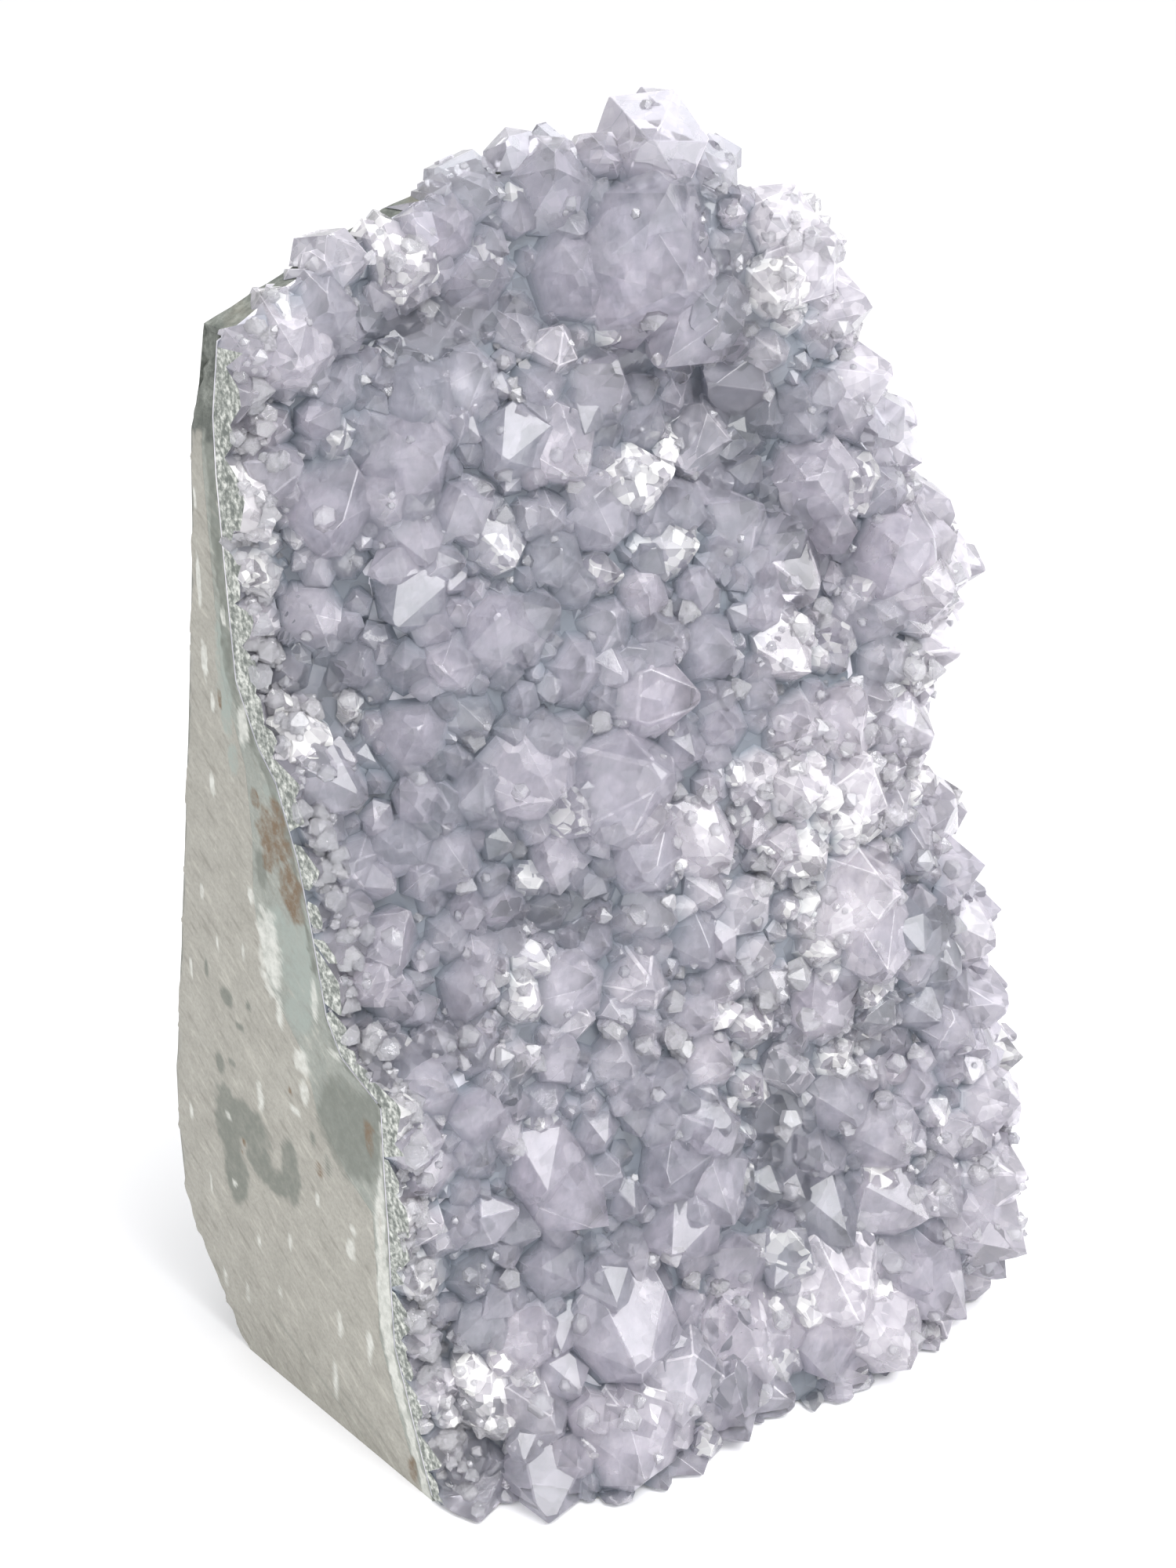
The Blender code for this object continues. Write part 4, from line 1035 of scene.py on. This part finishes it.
def stoneMaterial(name, base, paler):
    # fine-grained stone: matt grey where it is sawn, with white, dark, rusty and blue-green
    # minerals; dark green-grey and rough where it is natural
    material, tree, output = newMaterial(name)
    place = addNode(tree, "TexCoord")
    cloud = addNode(tree, "TexNoise", {"Scale": 260.0, "Detail": 8.0, "Roughness": 0.75}, {"Vector": (place, "Object")})
    speck = addNode(tree, "TexNoise", {"Scale": 2400.0, "Detail": 3.0}, {"Vector": (place, "Object")})
    sawn = setRamp(addNode(tree, "ValToRGB", links={"Fac": (cloud, "Fac")}), ((0.35, base), (0.65, paler)))
    grey = ranged(tree, speck, "Fac", 0.4, 0.75, 0.0, 0.3)
    colour = covered(tree, sawn, (grey, "Result"), "6F6F69")
    grain = addNode(tree, "Mapping", {"vector_type": "TEXTURE", "Rotation": (0.63, 0, 0), "Scale": (1, 7, 1)},
                    {"Vector": (place, "Object")})
    streak = addNode(tree, "TexNoise", {"Scale": 1300.0, "Detail": 3.0}, {"Vector": (grain, "Vector")})
    colour = covered(tree, colour, (ranged(tree, streak, "Fac", 0.56, 0.72, 0.0, 0.45), "Result"), "726F67")
    colour = covered(tree, colour, (ranged(tree, streak, "Fac", 0.42, 0.28, 0.0, 0.45), "Result"), "BBB8AE")
    broken = addNode(tree, "TexNoise", {"Scale": 800.0, "Detail": 6.0, "Roughness": 0.7}, {"Vector": (place, "Object")})
    for mark, tone, least in (("teal", "929A94", 0.4), ("dark", "6B6F68", 0.7), ("rust", "6F5E4B", 0.3), ("white", "C6C7C1", 0.4)):
        fray = ranged(tree, broken, "Fac", 0.35, 0.6, least, 1.0)
        share = addNode(tree, "Math", {"operation": "MULTIPLY"}, {0: (kept(tree, mark), "Fac"), 1: (fray, "Result")})
        colour = covered(tree, colour, (share, "Value"), tone)
    skin = setRamp(addNode(tree, "ValToRGB", links={"Fac": (broken, "Fac")}),
                   ((0.3, "525752"), (0.75, "9A9E97"), (0.5, "6F736D")))
    weather = addNode(tree, "TexNoise", {"Scale": 70.0, "Detail": 6.0, "Roughness": 0.65}, {"Vector": (place, "Object")})
    skin = covered(tree, skin, (ranged(tree, weather, "Fac", 0.5, 0.68, 0.0, 0.6), "Result"), "8C877A")
    skin = covered(tree, skin, (ranged(tree, weather, "Fac", 0.47, 0.34, 0.0, 0.6), "Result"), "474C48")
    natural = kept(tree, "natural")
    both = addNode(tree, "MixRGB", links={"Color1": (colour, "Color"), "Color2": (skin, "Color"), "Fac": (natural, "Fac")})
    deep = ranged(tree, natural, "Fac", 0.0, 1.0, 0.12, 0.9)
    relief = addNode(tree, "Bump", {"Distance": 0.0005}, {"Height": (cloud, "Fac"), "Strength": (deep, "Result")})
    fine = addNode(tree, "Bump", {"Strength": 0.25, "Distance": 0.0001}, {"Height": (speck, "Fac"), "Normal": (relief, "Normal")})
    shader = addNode(tree, "BsdfPrincipled", {"Roughness": 0.8}, {"Base Color": (both, "Color"), "Normal": (fine, "Normal")})
    tree.links.new(shader.outputs["BSDF"], output.inputs["Surface"])
    return material


def plainMaterial(name, colour, roughness):
    material, tree, output = newMaterial(name)
    shader = addNode(tree, "BsdfPrincipled", {"Base Color": linear(colour), "Roughness": roughness})
    tree.links.new(shader.outputs["BSDF"], output.inputs["Surface"])
    return material


def dress(piece, material):
    piece.data.materials.clear()
    piece.data.materials.append(material)


def addPiece(piece, material, node=None):
    # a dressed piece on the frame's one body, in place of a solid if one is named
    dress(piece, material)
    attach(piece, "root")
    if node:
        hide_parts(node)


crystalPiece = makeCrust()
addPiece(crystalPiece, amethystMaterial(), "amethyst_crust")
addPiece(makeTiny(crystalPiece), tinyMaterial())
addPiece(makeRoots(), rootMaterial())
report("crystals made")
rockPiece, rindPiece = makeStone()
addPiece(rockPiece, stoneMaterial("sawnBasalt", "96948C", "A3A199"), "basalt_matrix")
addPiece(rindPiece, stoneMaterial("agateRind", "858A84", "9A9D96"), "agate_rind")
report("stone made")

# Room: a pale floor, a bright surround and soft lamps
studio = {
    "floorColour": "FBFBFD", "surround": "FFFFFF", "surroundStrength": 1.0,
    "keyPower": 3.3, "keySize": 420, "keyPlace": (150, -250, 480),
    "fillPower": 0.6, "fillSize": 400, "fillPlace": (-400, -350, 300),
}


def makeFloor():
    # one flat sheet, large enough to fill the view
    wide = 3000
    floor = newObject("studioFloor", [(-wide, -wide, 0), (wide, -wide, 0), (wide, wide, 0), (-wide, wide, 0)],
                      [(0, 1, 2, 3)])
    dress(floor, plainMaterial("matWhiteFloor", studio["floorColour"], 0.9))


def makeLamp(name, power, size, place):
    # a square soft lamp that looks at the middle of the piece
    lamp = bpy.data.lights.new(name, "AREA")
    lamp.energy = power
    lamp.size = size * mm
    holder = bpy.data.objects.new(name, lamp)
    bpy.context.scene.collection.objects.link(holder)
    holder.location = Vector(place) * mm
    aim = Vector((0, 0, 70)) * mm - holder.location
    holder.rotation_euler = aim.to_track_quat("-Z", "Y").to_euler()


def makeSurround():
    world = bpy.data.worlds.new("surround")
    world.use_nodes = True
    background = world.node_tree.nodes["Background"]
    background.inputs["Color"].default_value = linear(studio["surround"])
    background.inputs["Strength"].default_value = studio["surroundStrength"]
    bpy.context.scene.world = world


camera = {"lens": 60.0, "place": (-92.05, -218.99, 201.24), "down": 25.0, "turn": -27.0973}


def makeCamera():
    lens = bpy.data.cameras.new("photoView")
    lens.lens = camera["lens"]
    lens.sensor_width = 36.0
    lens.clip_start = 0.01
    holder = bpy.data.objects.new("photoView", lens)
    bpy.context.scene.collection.objects.link(holder)
    down, turn = np.radians(camera["down"]), np.radians(camera["turn"])
    back = Vector((np.sin(turn) * np.cos(down), -np.cos(turn) * np.cos(down), np.sin(down)))
    right = Vector((np.cos(turn), np.sin(turn), 0))
    upward = back.cross(right)
    place = (Vector(camera["place"]) - Vector(baseCentre)) * mm
    holder.matrix_world = Matrix.Translation(place) @ Matrix((right, upward, back)).transposed().to_4x4()
    bpy.context.scene.camera = holder


makeFloor()
makeLamp("keyLamp", studio["keyPower"], studio["keySize"], studio["keyPlace"])
makeLamp("fillLamp", studio["fillPower"], studio["fillSize"], studio["fillPlace"])
makeSurround()
makeCamera()
bpy.context.scene.view_settings.view_transform = "Standard"

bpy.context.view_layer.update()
report("scene made")
